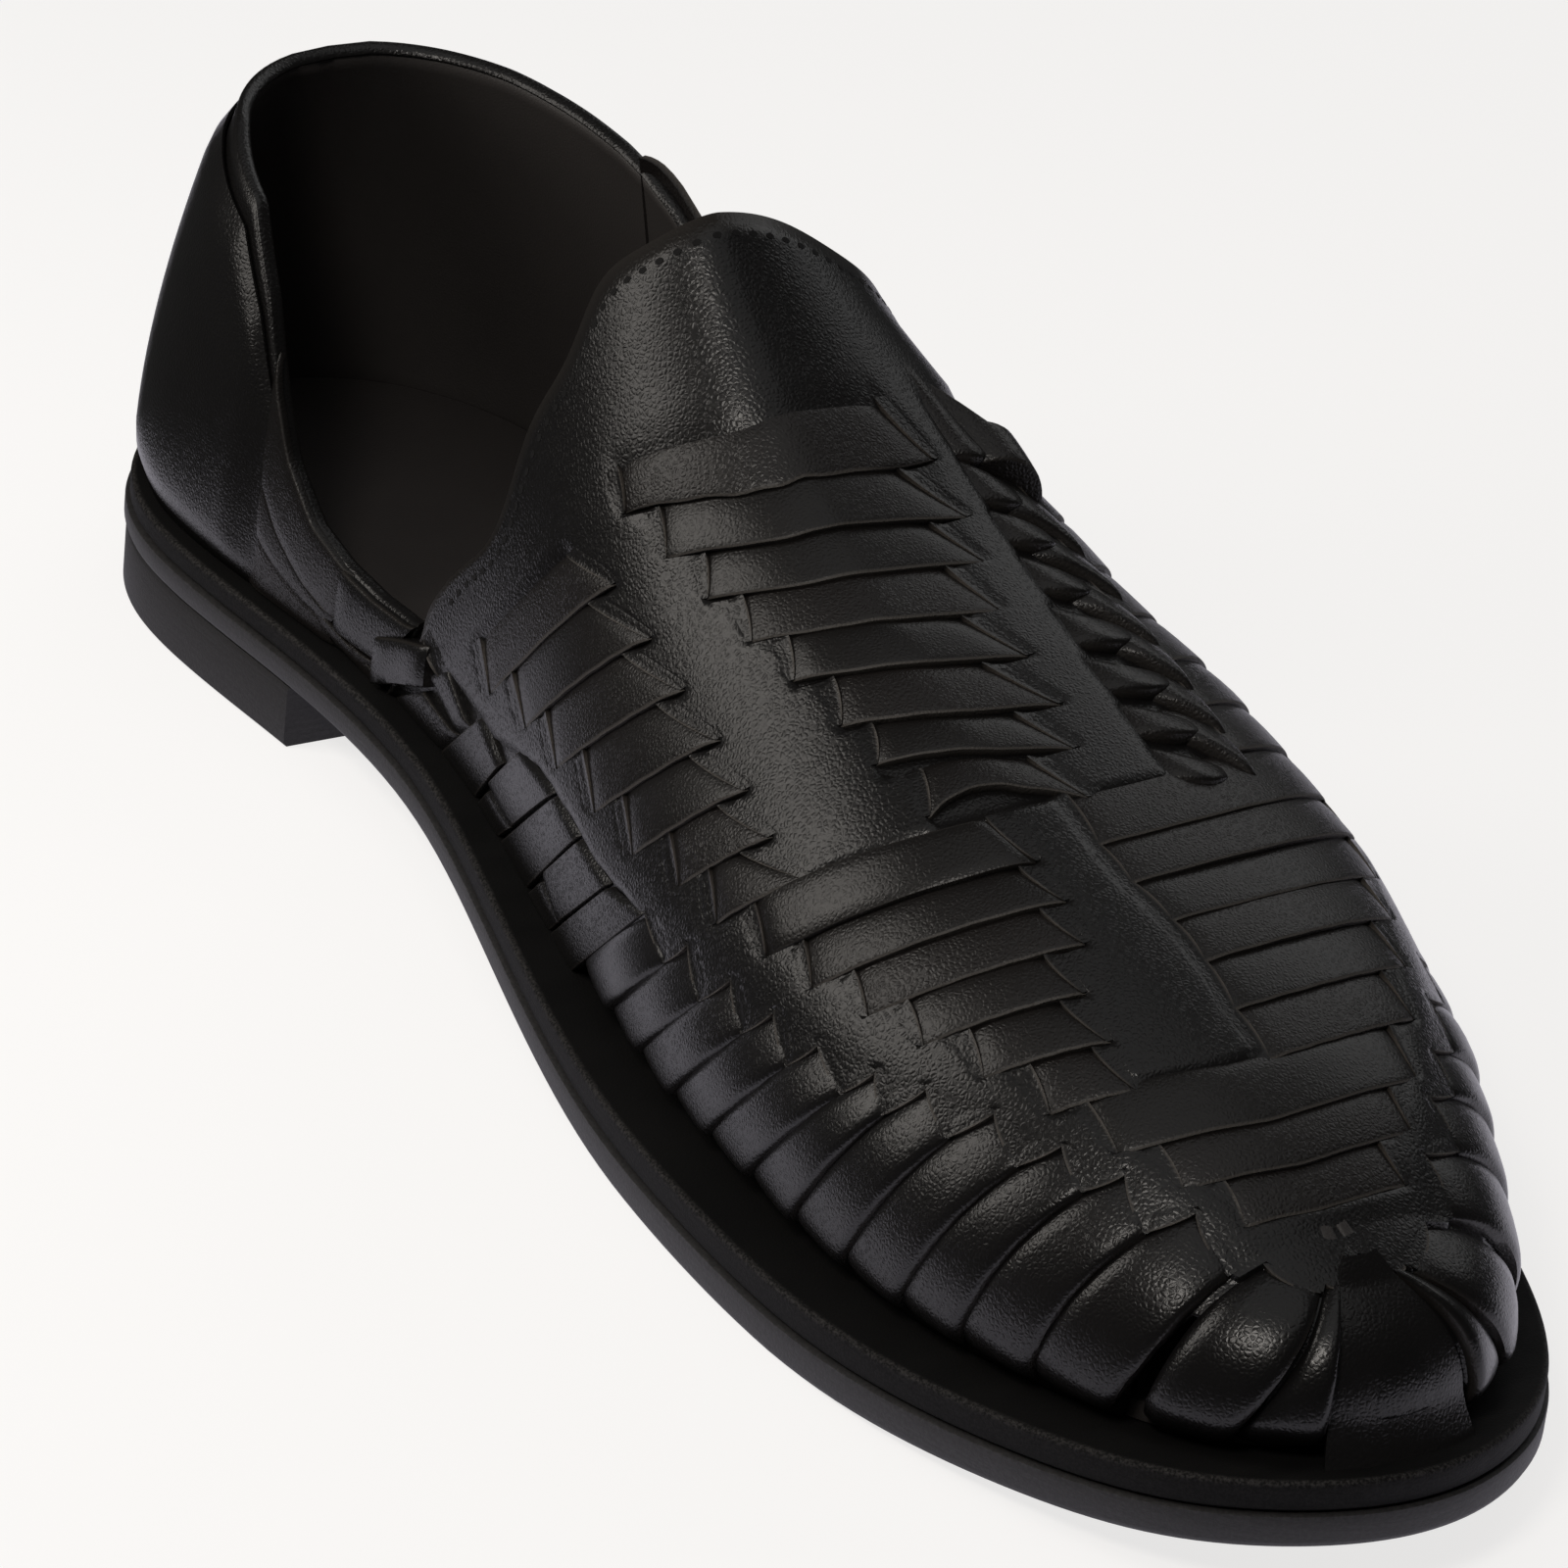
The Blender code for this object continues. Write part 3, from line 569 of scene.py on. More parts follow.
@dataclass(frozen=True)
class Leather:
    """Chrome-tanned calf, dyed black: pebbles parted by fine creases, uneven sheen, paler cuts."""

    name: str
    colour: str
    worn: str
    cut: str
    roughness: float
    sheen_spread: float
    grain_mm: float
    grain_depth_mm: float

    # Sizes in millimetres of the bends in the grain and of the cloudy tone.
    BEND_MM = 2.5
    CLOUD_MM = 24.0

    def material(self) -> Finish:
        """Material from Object coordinates: cells of the grain's size, fine fibre noise, slow cloudy tone.

        Returns:
            The material, which also reads the attributes tone and cut.
        """
        made, tree, shader = new_finish(self.name)
        place = add_node(tree, "ShaderNodeTexCoord", {}).outputs["Object"]
        grain_size = self.grain_mm * MM
        wobble = add_node(tree, "ShaderNodeTexNoise", {"Scale": 1 / (self.BEND_MM * MM), "Detail": 2.0},
                          {"Vector": place})
        bend = (grain_size * .5,) * 3
        bent = add_node(tree, "ShaderNodeVectorMath", {"operation": "MULTIPLY_ADD", 1: bend},
                        {0: wobble.outputs["Color"], 2: place})
        cells = add_node(tree, "ShaderNodeTexVoronoi",
                         {"feature": "DISTANCE_TO_EDGE", "Scale": 1 / grain_size},
                         {"Vector": bent.outputs["Vector"]})
        creases = add_node(tree, "ShaderNodeMapRange",
                           {"interpolation_type": "SMOOTHSTEP", "From Max": .38},
                           {"Value": cells.outputs["Distance"]})
        fibre = add_node(tree, "ShaderNodeTexNoise", {"Scale": 1 / (grain_size * .6), "Detail": 1.0},
                         {"Vector": place})
        grain = add_node(tree, "ShaderNodeMath", {"operation": "MULTIPLY_ADD", 1: .4},
                         {0: fibre.outputs["Fac"], 2: creases.outputs["Result"]})
        tone = add_node(tree, "ShaderNodeAttribute", {"attribute_name": "tone"})
        raised_by = add_node(tree, "ShaderNodeMapRange",
                             {"From Min": TONE_LOW, "From Max": TONE_HIGH, "To Min": .45, "To Max": 1.0},
                             {"Value": tone.outputs["Fac"]})
        bump = add_node(tree, "ShaderNodeBump", {"Distance": self.grain_depth_mm * MM},
                        {"Height": grain.outputs["Value"], "Strength": raised_by.outputs["Result"]})
        cloud = add_node(tree, "ShaderNodeTexNoise",
                         {"Scale": 1 / (self.CLOUD_MM * MM), "Detail": 4.0, "Roughness": .6},
                         {"Vector": place})
        spread = add_node(tree, "ShaderNodeMath", {"operation": "ADD"},
                          {0: cloud.outputs["Fac"], 1: tone.outputs["Fac"]})
        share = add_node(tree, "ShaderNodeMapRange", {"From Min": .35, "From Max": 1.3},
                         {"Value": spread.outputs["Value"]})
        body = add_node(tree, "ShaderNodeMix",
                        {"data_type": "RGBA", 6: linear(self.colour), 7: linear(self.worn)},
                        {0: share.outputs["Result"]})
        # Cut edges turn paler where the cut attribute is set; on lapped edges it lies on the top corner
        # only, so it is partly a painted highlight.
        cut = add_node(tree, "ShaderNodeAttribute", {"attribute_name": "cut"})
        edged = add_node(tree, "ShaderNodeMix", {"data_type": "RGBA", 7: linear(self.cut)},
                         {0: cut.outputs["Fac"], 6: body.outputs[2]})
        rough = add_node(tree, "ShaderNodeMapRange", {"To Min": self.roughness - self.sheen_spread,
                                                      "To Max": self.roughness + self.sheen_spread},
                         {"Value": share.outputs["Result"]})
        dull = add_node(tree, "ShaderNodeMath", {"operation": "MULTIPLY_ADD", "use_clamp": True, 1: .35},
                        {0: cut.outputs["Fac"], 2: rough.outputs["Result"]})
        tree.links.new(edged.outputs[2], shader.inputs["Base Color"])
        tree.links.new(dull.outputs["Value"], shader.inputs["Roughness"])
        tree.links.new(bump.outputs["Normal"], shader.inputs["Normal"])
        set_values(shader, {"IOR": 1.43})
        return made


@dataclass(frozen=True)
class SoleStock:
    """Inked sole edge or moulded rubber: fine grit, faint lines along the layer, scuffed corners."""

    name: str
    colour: str
    worn: str
    roughness: float
    grit_mm: float
    grit_depth_mm: float
    specular: float

    # Length and spacing in millimetres of the lines that grinding leaves along the layer.
    LINE_MM = 18.0
    LINE_SPACING_MM = 0.6

    def material(self) -> Finish:
        """Material from Object coordinates: grit noise, lines along the sole, paler where cut is set.

        Returns:
            The material.
        """
        made, tree, shader = new_finish(self.name)
        place = add_node(tree, "ShaderNodeTexCoord", {}).outputs["Object"]
        grit = add_node(tree, "ShaderNodeTexNoise",
                        {"Scale": 1 / (self.grit_mm * MM), "Detail": 4.0, "Roughness": .65},
                        {"Vector": place})
        along, across = 1 / (self.LINE_MM * MM), 1 / (self.LINE_SPACING_MM * MM)
        flat = add_node(tree, "ShaderNodeMapping", {"Scale": (along, along, across)}, {"Vector": place})
        ground = add_node(tree, "ShaderNodeTexNoise", {"Scale": 1.0, "Detail": 2.0},
                          {"Vector": flat.outputs["Vector"]})
        height = add_node(tree, "ShaderNodeMath", {"operation": "MULTIPLY_ADD", 1: .6},
                          {0: ground.outputs["Fac"], 2: grit.outputs["Fac"]})
        bump = add_node(tree, "ShaderNodeBump", {"Strength": .8, "Distance": self.grit_depth_mm * MM},
                        {"Height": height.outputs["Value"]})
        scuff = add_node(tree, "ShaderNodeAttribute", {"attribute_name": "cut"})
        patchy = add_node(tree, "ShaderNodeMapRange", {"From Min": .42, "From Max": .62},
                          {"Value": grit.outputs["Fac"]})
        share = add_node(tree, "ShaderNodeMath", {"operation": "MULTIPLY"},
                         {0: scuff.outputs["Fac"], 1: patchy.outputs["Result"]})
        tint = add_node(tree, "ShaderNodeMath", {"operation": "MULTIPLY_ADD", "use_clamp": True, 1: .12},
                        {0: ground.outputs["Fac"], 2: share.outputs["Value"]})
        body = add_node(tree, "ShaderNodeMix",
                        {"data_type": "RGBA", 6: linear(self.colour), 7: linear(self.worn)},
                        {0: tint.outputs["Value"]})
        tree.links.new(body.outputs[2], shader.inputs["Base Color"])
        tree.links.new(bump.outputs["Normal"], shader.inputs["Normal"])
        set_values(shader, {"Roughness": self.roughness, "Specular IOR Level": self.specular})
        return made


# Boarded calf of the bands and the tab: round pebbles that catch the light, a soft wax sheen.
BAND_CALF = Leather("boarded_black_calf", "#161515", "#1d1c1c", "#5a544e",
                    roughness=.32, sheen_spread=.03, grain_mm=.66, grain_depth_mm=.042)
# Cut strips of the same hide: drier and browner, a duller sheen, with paler cut edges.
STRIP_CALF = Leather("cut_strip_calf", "#191716", "#231f1e", "#54504c",
                     roughness=.37, sheen_spread=.04, grain_mm=.62, grain_depth_mm=.042)
# Strips pulled tight over the last and brushed: flatter grain, with a clear sheen.
PULLED_CALF = Leather("brushed_strip_calf", "#161515", "#1e1c1c", "#4a4541",
                      roughness=.31, sheen_spread=.03, grain_mm=.64, grain_depth_mm=.030)
# Plated lining and sock leather: smooth and nearly plain, with hardly any sheen.
LINING_CALF = Leather("plated_lining_calf", "#383534", "#413e3c", "#3a3532",
                      roughness=.52, sheen_spread=.05, grain_mm=.5, grain_depth_mm=.02)
SOCK_CALF = Leather("plated_sock_calf", "#353231", "#3e3a38", "#3a3532",
                    roughness=.52, sheen_spread=.06, grain_mm=.6, grain_depth_mm=.02)
# Painted shade of a punched hole, on plugs that sit in the hide and stand a little proud: near black and
# dull.
HOLE_SHADE_PAINT = Leather("painted_hole_shade", "#0a0909", "#0d0c0c", "#0d0c0c",
                     roughness=.85, sheen_spread=.05, grain_mm=.5, grain_depth_mm=.01)
# Edge-inked leather board of the midsole: black ink, made near black as painted shade for the ledge that
# lies under the upper; paler where its corner is rubbed.
MIDSOLE_INK_AND_SHADE = SoleStock("edge_ink_and_painted_shade_board", "#080808", "#403e3d",
                          roughness=.70, grit_mm=.35, grit_depth_mm=.10, specular=.15)
# Ground rubber of the outsole and moulded rubber of the heel: dark grey, dull, a little gritty.
OUTSOLE_RUBBER = SoleStock("ground_black_rubber", "#1c1b1b", "#3f3d3d",
                           roughness=.62, grit_mm=.5, grit_depth_mm=.12, specular=.5)
HEEL_RUBBER = SoleStock("moulded_black_rubber", "#191818", "#343232",
                        roughness=.68, grit_mm=.5, grit_depth_mm=.12, specular=.4)


def grid_faces(rows: int, columns: int) -> Array:
    """Quads of an open grid with the columns running fastest.

    Args:
        rows: points along the first parameter.
        columns: points along the second parameter.

    Returns:
        Four vertex numbers for each face.
    """
    corner = (np.arange(rows - 1)[:, None] * columns + np.arange(columns - 1)[None, :]).ravel()
    return np.stack([corner, corner + columns, corner + columns + 1, corner + 1], -1)


def tube_faces(count: int, stations: int, around: int) -> list[list[int]]:
    """Faces of closed tubes: quads round each profile loop and a cap at both ends.

    Args:
        count: number of tubes.
        stations: profiles along each tube.
        around: points in each profile.

    Returns:
        Vertex numbers of each face.
    """
    step = np.arange(around)
    profile = np.arange(count)[:, None] * stations + np.arange(stations - 1)[None, :]
    base = profile.ravel()[:, None] * around
    first, second = base + step, base + (step + 1) % around
    sides = np.stack([first, second, second + around, first + around], -1).reshape(-1, 4)
    starts = np.arange(count)[:, None] * stations * around
    near = starts + step[::-1]
    far = starts + (stations - 1) * around + step
    return sides.tolist() + near.tolist() + far.tolist()


@dataclass
class Piece:
    """Mesh of one piece, before it is put in the scene."""

    name: str
    vertices: Array
    faces: list[list[int]]
    finishes: list[Finish]
    slot: str
    tone: Array | None = None
    cut: Array | None = None
    weld: bool = False
    sharp_degrees: float = 40.0

    def add(self, replaces: tuple[str, ...] = ()) -> bpy.types.Object:
        """Makes the object, with its faces outwards, and lets it ride on the shoe.

        Args:
            replaces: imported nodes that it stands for.

        Returns:
            The object.
        """
        mesh = bpy.data.meshes.new(self.name)
        mesh.from_pydata(self.vertices.reshape(-1, 3), [], self.faces)
        for label, values in (("tone", self.tone), ("cut", self.cut)):
            if values is not None:
                layer = mesh.attributes.new(label, "FLOAT", "POINT")
                layer.data.foreach_set("value", np.ascontiguousarray(values, np.float32).ravel())
        work = bmesh.new()
        work.from_mesh(mesh)
        if self.weld:
            bmesh.ops.remove_doubles(work, verts=work.verts, dist=.002 * MM)
            bmesh.ops.dissolve_degenerate(work, edges=work.edges, dist=.001 * MM)
        bmesh.ops.recalc_face_normals(work, faces=work.faces)
        work.to_mesh(mesh)
        work.free()
        mesh.shade_smooth()
        mesh.set_sharp_from_angle(angle=np.radians(self.sharp_degrees))
        for finish in self.finishes:
            mesh.materials.append(finish)
        made = placed(self.name, mesh)
        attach(made, BODY)
        if replaces:
            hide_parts(*replaces)
        LOG.info("%s: %d faces", self.name, len(mesh.polygons))
        return made


def wall_thickness(made: bpy.types.Object, thickness: float) -> None:
    """Gives an open face its wall inwards, with the second finish on the inside."""
    wall = made.modifiers.new("wall", "SOLIDIFY")
    wall.thickness = thickness
    wall.offset = -1.0
    wall.material_offset = 1
    wall.material_offset_rim = 0


@dataclass(frozen=True)
class Profile:
    """Section of a strip: places across it, heights in millimetres and how far each place shows the cut."""

    across: Array
    rise: Array
    cut: Array


# One edge tucked under the neighbour and one edge proud with its cut showing. The cut is pale on the edge's
# top corner and fades to none at its foot: a paler cut edge, with a painted highlight above and painted
# shade below.
LAPPED = Profile(np.array([0, .05, .15, .32, .52, .72, .87, .95, .98, 1.0, 1.0, .9, .5, .1, 0]),
                 np.array([.02, .32, .58, .80, .93, 1.0, 1.03, 1.02, .98, .88, -.05, -.15, -.2, -.25, -.2]),
                 np.array([0, 0, 0, 0, 0, 0, 0, 0, .7, .9, 0, 0, 0, 0, 0]))
# One edge tucked under the neighbour and one edge rolled over.
ROLLED = Profile(np.array([0, .05, .15, .32, .52, .70, .82, .90, .955, .99, 1.0, 1.0, .9, .5, .1, 0]),
                 np.array([.02, .32, .58, .80, .95, 1.06, 1.10, 1.06, .92, .66, .30, -.1, -.15, -.2,
                           -.25, -.2]),
                 np.array([0, 0, 0, 0, 0, 0, 0, 0, 0, .2, .2, 0, 0, 0, 0, 0]))
# Both edges cut and a little rounded.
FLAT = Profile(np.array([0, .02, .06, .25, .5, .75, .94, .98, 1.0, 1.0, .7, .3, 0]),
               np.array([.55, .86, .97, 1.03, 1.06, 1.03, .97, .86, .55, -.2, -.2, -.2, -.2]),
               np.array([0, .2, 0, 0, 0, 0, 0, .2, 0, 0, 0, 0, 0]))


@dataclass
class StripLayer:
    """Strips laid on a face, each a profile carried from its start to its end."""

    surface: Surface
    corners: Array
    seed: int
    profile: Profile = LAPPED
    stations: int = 30
    dip_start: float = 0.3
    dip_end: float = 0.3
    dip_reach: float = 3.0
    end_reach: float = 3.0
    under_start: float = 3.0
    under_end: float = 3.0
    lift: float = 1.0
    arch: float = 0.0
    bow: tuple[float, ...] = (0.0,)
    ragged: float = 0.008
    tuck: float = 0.12
    overlap: float = 0.05

    # Slope of the part that goes down under a band.
    UNDER_SLOPE = 0.5
    # Shares of evenly spaced stations and of stations packed towards both ends.
    EVEN, PACKED = 0.55, 0.45

    def lengths(self) -> Array:
        """Length of each strip along its middle, from nine chords."""
        along = np.linspace(0, 1, 10)
        start = self.corners[:, :2].mean(1)
        end = self.corners[:, 2:].mean(1)
        path = start[:, None] + (end - start)[:, None] * along[None, :, None]
        points = self.surface.point(path[..., 0], path[..., 1])
        return np.linalg.norm(np.diff(points, axis=1), axis=-1).sum(1)

    @staticmethod
    def dip(distance: Array, depth: float, reach: float) -> Array:
        """Height lost near an end: easing over the reach, then a straight slope down under the band."""
        near = np.clip(1 - distance / (reach * MM), 0, None)
        under = -depth * MM + StripLayer.UNDER_SLOPE * distance
        return np.where(distance > 0, -depth * MM * near ** 2, under)

    def sideways(self, along: Array, across: Array, draw: np.random.Generator) -> Array:
        """Shift towards the toe, in lines: the bow 4s(1 - s) of each edge and a wave on the lower edge.

        Args:
            along: share of the way from start to end.
            across: share of the way from the upper to the lower edge.
            draw: source of the random phases.

        Returns:
            Shifts by strip, station and profile place.
        """
        count = len(self.corners)
        phase = draw.uniform(0, 2 * np.pi, (count, 1, 1))
        turns = draw.uniform(3, 6, (count, 1, 1))
        within = np.clip(along, 0, 1)
        lower = np.broadcast_to(self.bow, count)
        upper = np.r_[0.0, lower[:-1]]
        bow = upper[:, None, None] * (1 - across) + lower[:, None, None] * across
        wave = self.ragged * np.sin(2 * np.pi * turns * along + phase) * np.clip(across, 0, 1) ** 2
        return 4 * within * (1 - within) * bow + wave

    def build(self) -> Tubes:
        """Points of all strips: straight between their corners, with a profile carried along each.

        Returns:
            Points by strip, station and profile place, then the tone and the cut attribute.
        """
        draw = np.random.default_rng(self.seed)
        count = len(self.corners)
        length = self.lengths()[:, None]
        before = self.under_start * MM / length
        after = self.under_end * MM / length
        even = np.linspace(0, 1, self.stations)[None, :]
        packed = self.EVEN * even + self.PACKED * (1 - np.cos(np.pi * even)) / 2
        along = (packed * (1 + before + after) - before)[..., None]
        across = (self.profile.across * (1 + self.tuck + self.overlap) - self.tuck)[None, None, :]
        upper, lower, far_upper, far_lower = (self.corners[:, i][:, None, None, :] for i in range(4))
        near = upper + (lower - upper) * across[..., None]
        far = far_upper + (far_lower - far_upper) * across[..., None]
        place = near + (far - near) * along[..., None]
        lines = place[..., 0] + self.sideways(along, across, draw)
        within = np.clip(along, 0, 1)
        swell = (draw.uniform(-.12, .22, (count, 1, 1)) + self.arch) * 4 * within * (1 - within)
        sway = draw.uniform(-.12, .12, (count, 1, 1)) * (across - .5)
        rise = (self.profile.rise * self.lift + np.where(self.profile.rise > .5, swell + sway, 0)) * MM
        height = rise + self.dip(along * length[..., None], self.dip_start, self.dip_reach)
        height = height + self.dip((1 - along) * length[..., None], self.dip_end, self.end_reach)
        points = self.surface.at(lines, place[..., 1], height)
        tone = np.broadcast_to(draw.uniform(TONE_LOW, TONE_HIGH, (count, 1, 1)), points.shape[:3])
        cut = np.broadcast_to(self.profile.cut, points.shape[:3])
        return points, tone, cut


def strip_corners(rows: Table) -> Array:
    """Corners of strips from a table of (line, over) pairs: upper and lower start, upper and lower end."""
    names = CORNERS.split()
    return np.stack([np.stack([rows[names[i]], rows[names[i + 1]]], -1) for i in (0, 2, 4, 6)], 1)


def mirrored(corners: Array) -> Array:
    """The same strips on the other side of the foot."""
    return corners * np.array([1.0, -1.0])


def rising_corners() -> Array:
    """Corners of the strips from the sole to the border band on the inner side."""
    rows = RISING_STRIPS
    sole = np.full_like(rows["sole"], RISING_FOOT)
    pairs = [(rows["sole"], sole), (rows["low_sole"], sole),
             (rows["top"], rows["over"]), (rows["low_top"], rows["low_over"])]
    return np.stack([np.stack(pair, -1) for pair in pairs], 1)


def fade(lines_past: Array) -> Array:
    """Step from 0 to 1 that is spread evenly about a line."""
    return ease(lines_past / FADE_LINES + .5)


@dataclass(frozen=True)
class SlitRow:
    """Row of slits in the hide: line and over of each slit's upper and lower corner, lines rising."""

    lines: Array
    overs: Array
    low_lines: Array
    low_overs: Array

    def stepped(self, line: Array) -> Array:
        """Over of an edge that runs along each slit in turn and steps over to the next one."""
        slit = np.clip(np.searchsorted(self.lines, line, side="right") - 1, 0, len(self.lines) - 1)
        share = np.clip((line - self.lines[slit]) / (self.low_lines[slit] - self.lines[slit]), 0, 1)
        return self.overs[slit] + (self.low_overs[slit] - self.overs[slit]) * share

    def smoothed(self, line: Array) -> Array:
        """Over of an edge that runs straight from the middle of each slit to the middle of the next."""
        return np.interp(line, (self.lines + self.low_lines) / 2, (self.overs + self.low_overs) / 2)

    def edge(self, line: Array, sagging: bool) -> Array:
        """Over of the edge where the hide sags, or of the cut edge."""
        return self.smoothed(line) if sagging else self.stepped(line)


def slit_row(rows: Table, names: Sequence[str]) -> SlitRow:
    """Row of slits from four columns of a table."""
    return SlitRow(*(rows[name] for name in names))


@dataclass(frozen=True)
class Level:
    """Strips laid through the hide: tables of their starts and ends, first and final line, sag beside."""

    near: Table
    far: Table
    first: float
    final: float
    sag: float


@dataclass
class VampSkin:
    """Smooth hide under and between the strips: bands and tab at full height, sunk where strips cross."""

    face: WovenFace
    band_height: float = 0.8 * MM
    crown: float = 0.18 * MM
    tuck_depth: float = 2.0 * MM
    tuck_from: float = 0.86
    tuck_over: float = 0.08
    tuck_line: float = 6.0
    thickness: float = 2.0 * MM
    edge_width: float = 0.014
    edge_cut: float = 0.2
    sag_width: float = 0.10
    basket_from: float = 0.2
    steps: int = 10
    columns: int = 181

    LEVELS = (Level(SIDE_STRIPS, SIDE_STRIPS, 1.0, 8.0, .10),
              Level(INSTEP_STRIPS, INSTEP_STRIPS, .75, 8.05, .03),
              Level(POINTED_STRIPS, OUTER_STRIPS, .8, 8.1, .03),
              Level(FRONT_INNER_STRIPS, FRONT_INNER_STRIPS, 8.12, 14.0, .03),
              Level(FRONT_OUTER_STRIPS, FRONT_OUTER_STRIPS, 8.12, 14.0, .03),
              Level(TOE_STRIPS, TOE_STRIPS, 13.9, 17.0, .03))

    @staticmethod
    def edge(over: Array) -> Array:
        """Line where the hide begins, a curve through the points of the tab's edge."""
        return spline(over, TAB_EDGE["over"], TAB_EDGE["line"])

    def covered(self, line: Array, over: Array, sagging: bool) -> Array:
        """Share of a place that strips cover: 1 between both slits of a level, easing to 0 beyond them.

        Args:
            line: lines of the places.
            over: overs of the places.
            sagging: eases over the width of the sag, not of the cut edge.

        Returns:
            Shares from 0 to 1.
        """
        total = np.zeros(np.broadcast(line, over).shape)
        for level in self.LEVELS:
            width = level.sag if sagging else self.edge_width
            start = slit_row(level.near, START_CORNERS).edge(line, sagging)
            end = slit_row(level.far, END_CORNERS).edge(line, sagging)
            inside = ease((over - start) / width + 1) * ease((end - over) / width + 1)
            total = np.maximum(total, inside * fade(line - level.first) * fade(level.final - line))
        width = self.sag_width if sagging else self.edge_width
        top = slit_row(RISING_STRIPS, RISING_TOP_CORNERS).edge(line, sagging)
        rising = ease((top + np.abs(over)) / width + 1) * fade(line - FIRST_RISING_LINE)
        low = np.interp(line, BASKET_TOP["line"], BASKET_TOP["over"])
        basket = ease((low + np.abs(over)) / width + 1) * fade(FIRST_RISING_LINE - line)
        basket = basket * ease((line - self.basket_from) / FADE_LINES)
        return np.maximum(total, np.maximum(rising, basket))

    def height(self, line: Array, over: Array) -> Array:
        """Height off the last: bands over the sunk parts, crowned between slits, tucked in at the sole."""
        band = 1 - self.covered(line, over, False)
        crowned = (1 - self.covered(line, over, True)) * ease((line - .3) / .8)
        tucked = self.tuck_depth * ease((np.abs(over) - self.tuck_from) / self.tuck_over)
        return self.band_height * band + self.crown * crowned - tucked * ease(line - self.tuck_line)

    def build(self, outside: Finish, inside: Finish) -> bpy.types.Object:
        """Open face on a grid of lines and overs, without the gaps at the toe, given its wall by Solidify.

        Args:
            outside: finish of the hide.
            inside: finish of the lining.

        Returns:
            The object.
        """
        lines = np.arange(int(LAST_LINE) * self.steps + 1) / self.steps
        overs = np.linspace(-1, 1, self.columns)
        line, over = np.meshgrid(lines, overs, indexing="ij")
        cut = np.where(line == 0, self.edge_cut, 0)
        line = line + self.edge(over) * np.clip(1 - line, 0, 1)
        points = self.face.at(line, over, self.height(line, over))
        points[..., 2] = np.where(np.abs(over) == 1, self.face.point(line, over)[..., 2], points[..., 2])
        faces = grid_faces(len(lines), len(overs))
        middle_line = line.ravel()[faces].mean(1)
        middle_over = np.abs(over.ravel()[faces].mean(1))
        gap = np.zeros(len(faces), bool)
        for first, final, least in TOE_SLOTS:
            gap |= (middle_line > first) & (middle_line < final) & (middle_over > least)
        piece = Piece("vamp_hide", points, faces[~gap].tolist(), [outside, inside], UPPER_SLOT,
                      cut=cut, weld=True)
        made = piece.add(("upper",))
        wall_thickness(made, self.thickness)
        return made


@dataclass
class StitchHoles:
    """Row of needle holes along the edge of the throat tab, drawn as dark plugs whose colour is painted
    shade.
    """

    face: WovenFace
    skin: VampSkin
    reach: float = 0.84
    inside: float = 2.9 * MM
    pitch: float = 2.45 * MM
    radius: float = 0.50 * MM
    proud: float = 0.05 * MM
    depth: float = 0.5 * MM
    around: int = 10

    def build(self, finish: Finish) -> bpy.types.Object:
        """Short plugs in the hide, near black with painted shade where a hole would be dark: circles square
        to it, at even steps beside the tab's edge.

        Args:
            finish: material of the plugs, their painted shade.

        Returns:
            The object.
        """
        over = np.linspace(-self.reach, self.reach, 800)
        edge = self.skin.edge(over)
        step = .1
        ahead_of = self.face.point(edge + step, over) - self.face.point(edge, over)
        per_line = np.linalg.norm(ahead_of, axis=-1) / step
        line = edge + self.inside / per_line
        steps = np.linalg.norm(np.diff(self.face.point(line, over), axis=0), axis=-1)
        run = np.r_[0.0, np.cumsum(steps)]
        places = np.arange(self.pitch / 2, run[-1], self.pitch)
        line = np.interp(places, run, line)
        over = np.interp(places, run, over)
        height = self.skin.height(line, over)
        centre = self.face.at(line, over, height + self.proud)
        below = self.face.at(line, over, height - self.depth)
        normal = (centre - below) / (self.proud + self.depth)
        ahead = np.gradient(centre, axis=0)
        ahead /= np.linalg.norm(ahead, axis=-1, keepdims=True)
        aside = np.cross(normal, ahead)
        turn = np.linspace(0, 2 * np.pi, self.around, endpoint=False)[None, :, None]
        ring = self.radius * (1.2 * np.cos(turn) * ahead[:, None] + .85 * np.sin(turn) * aside[:, None])
        plugs = np.stack([below[:, None] + ring, centre[:, None] + ring], 1)
        return joined("stitch_holes", [plain(plugs)], finish, UPPER_SLOT).add()


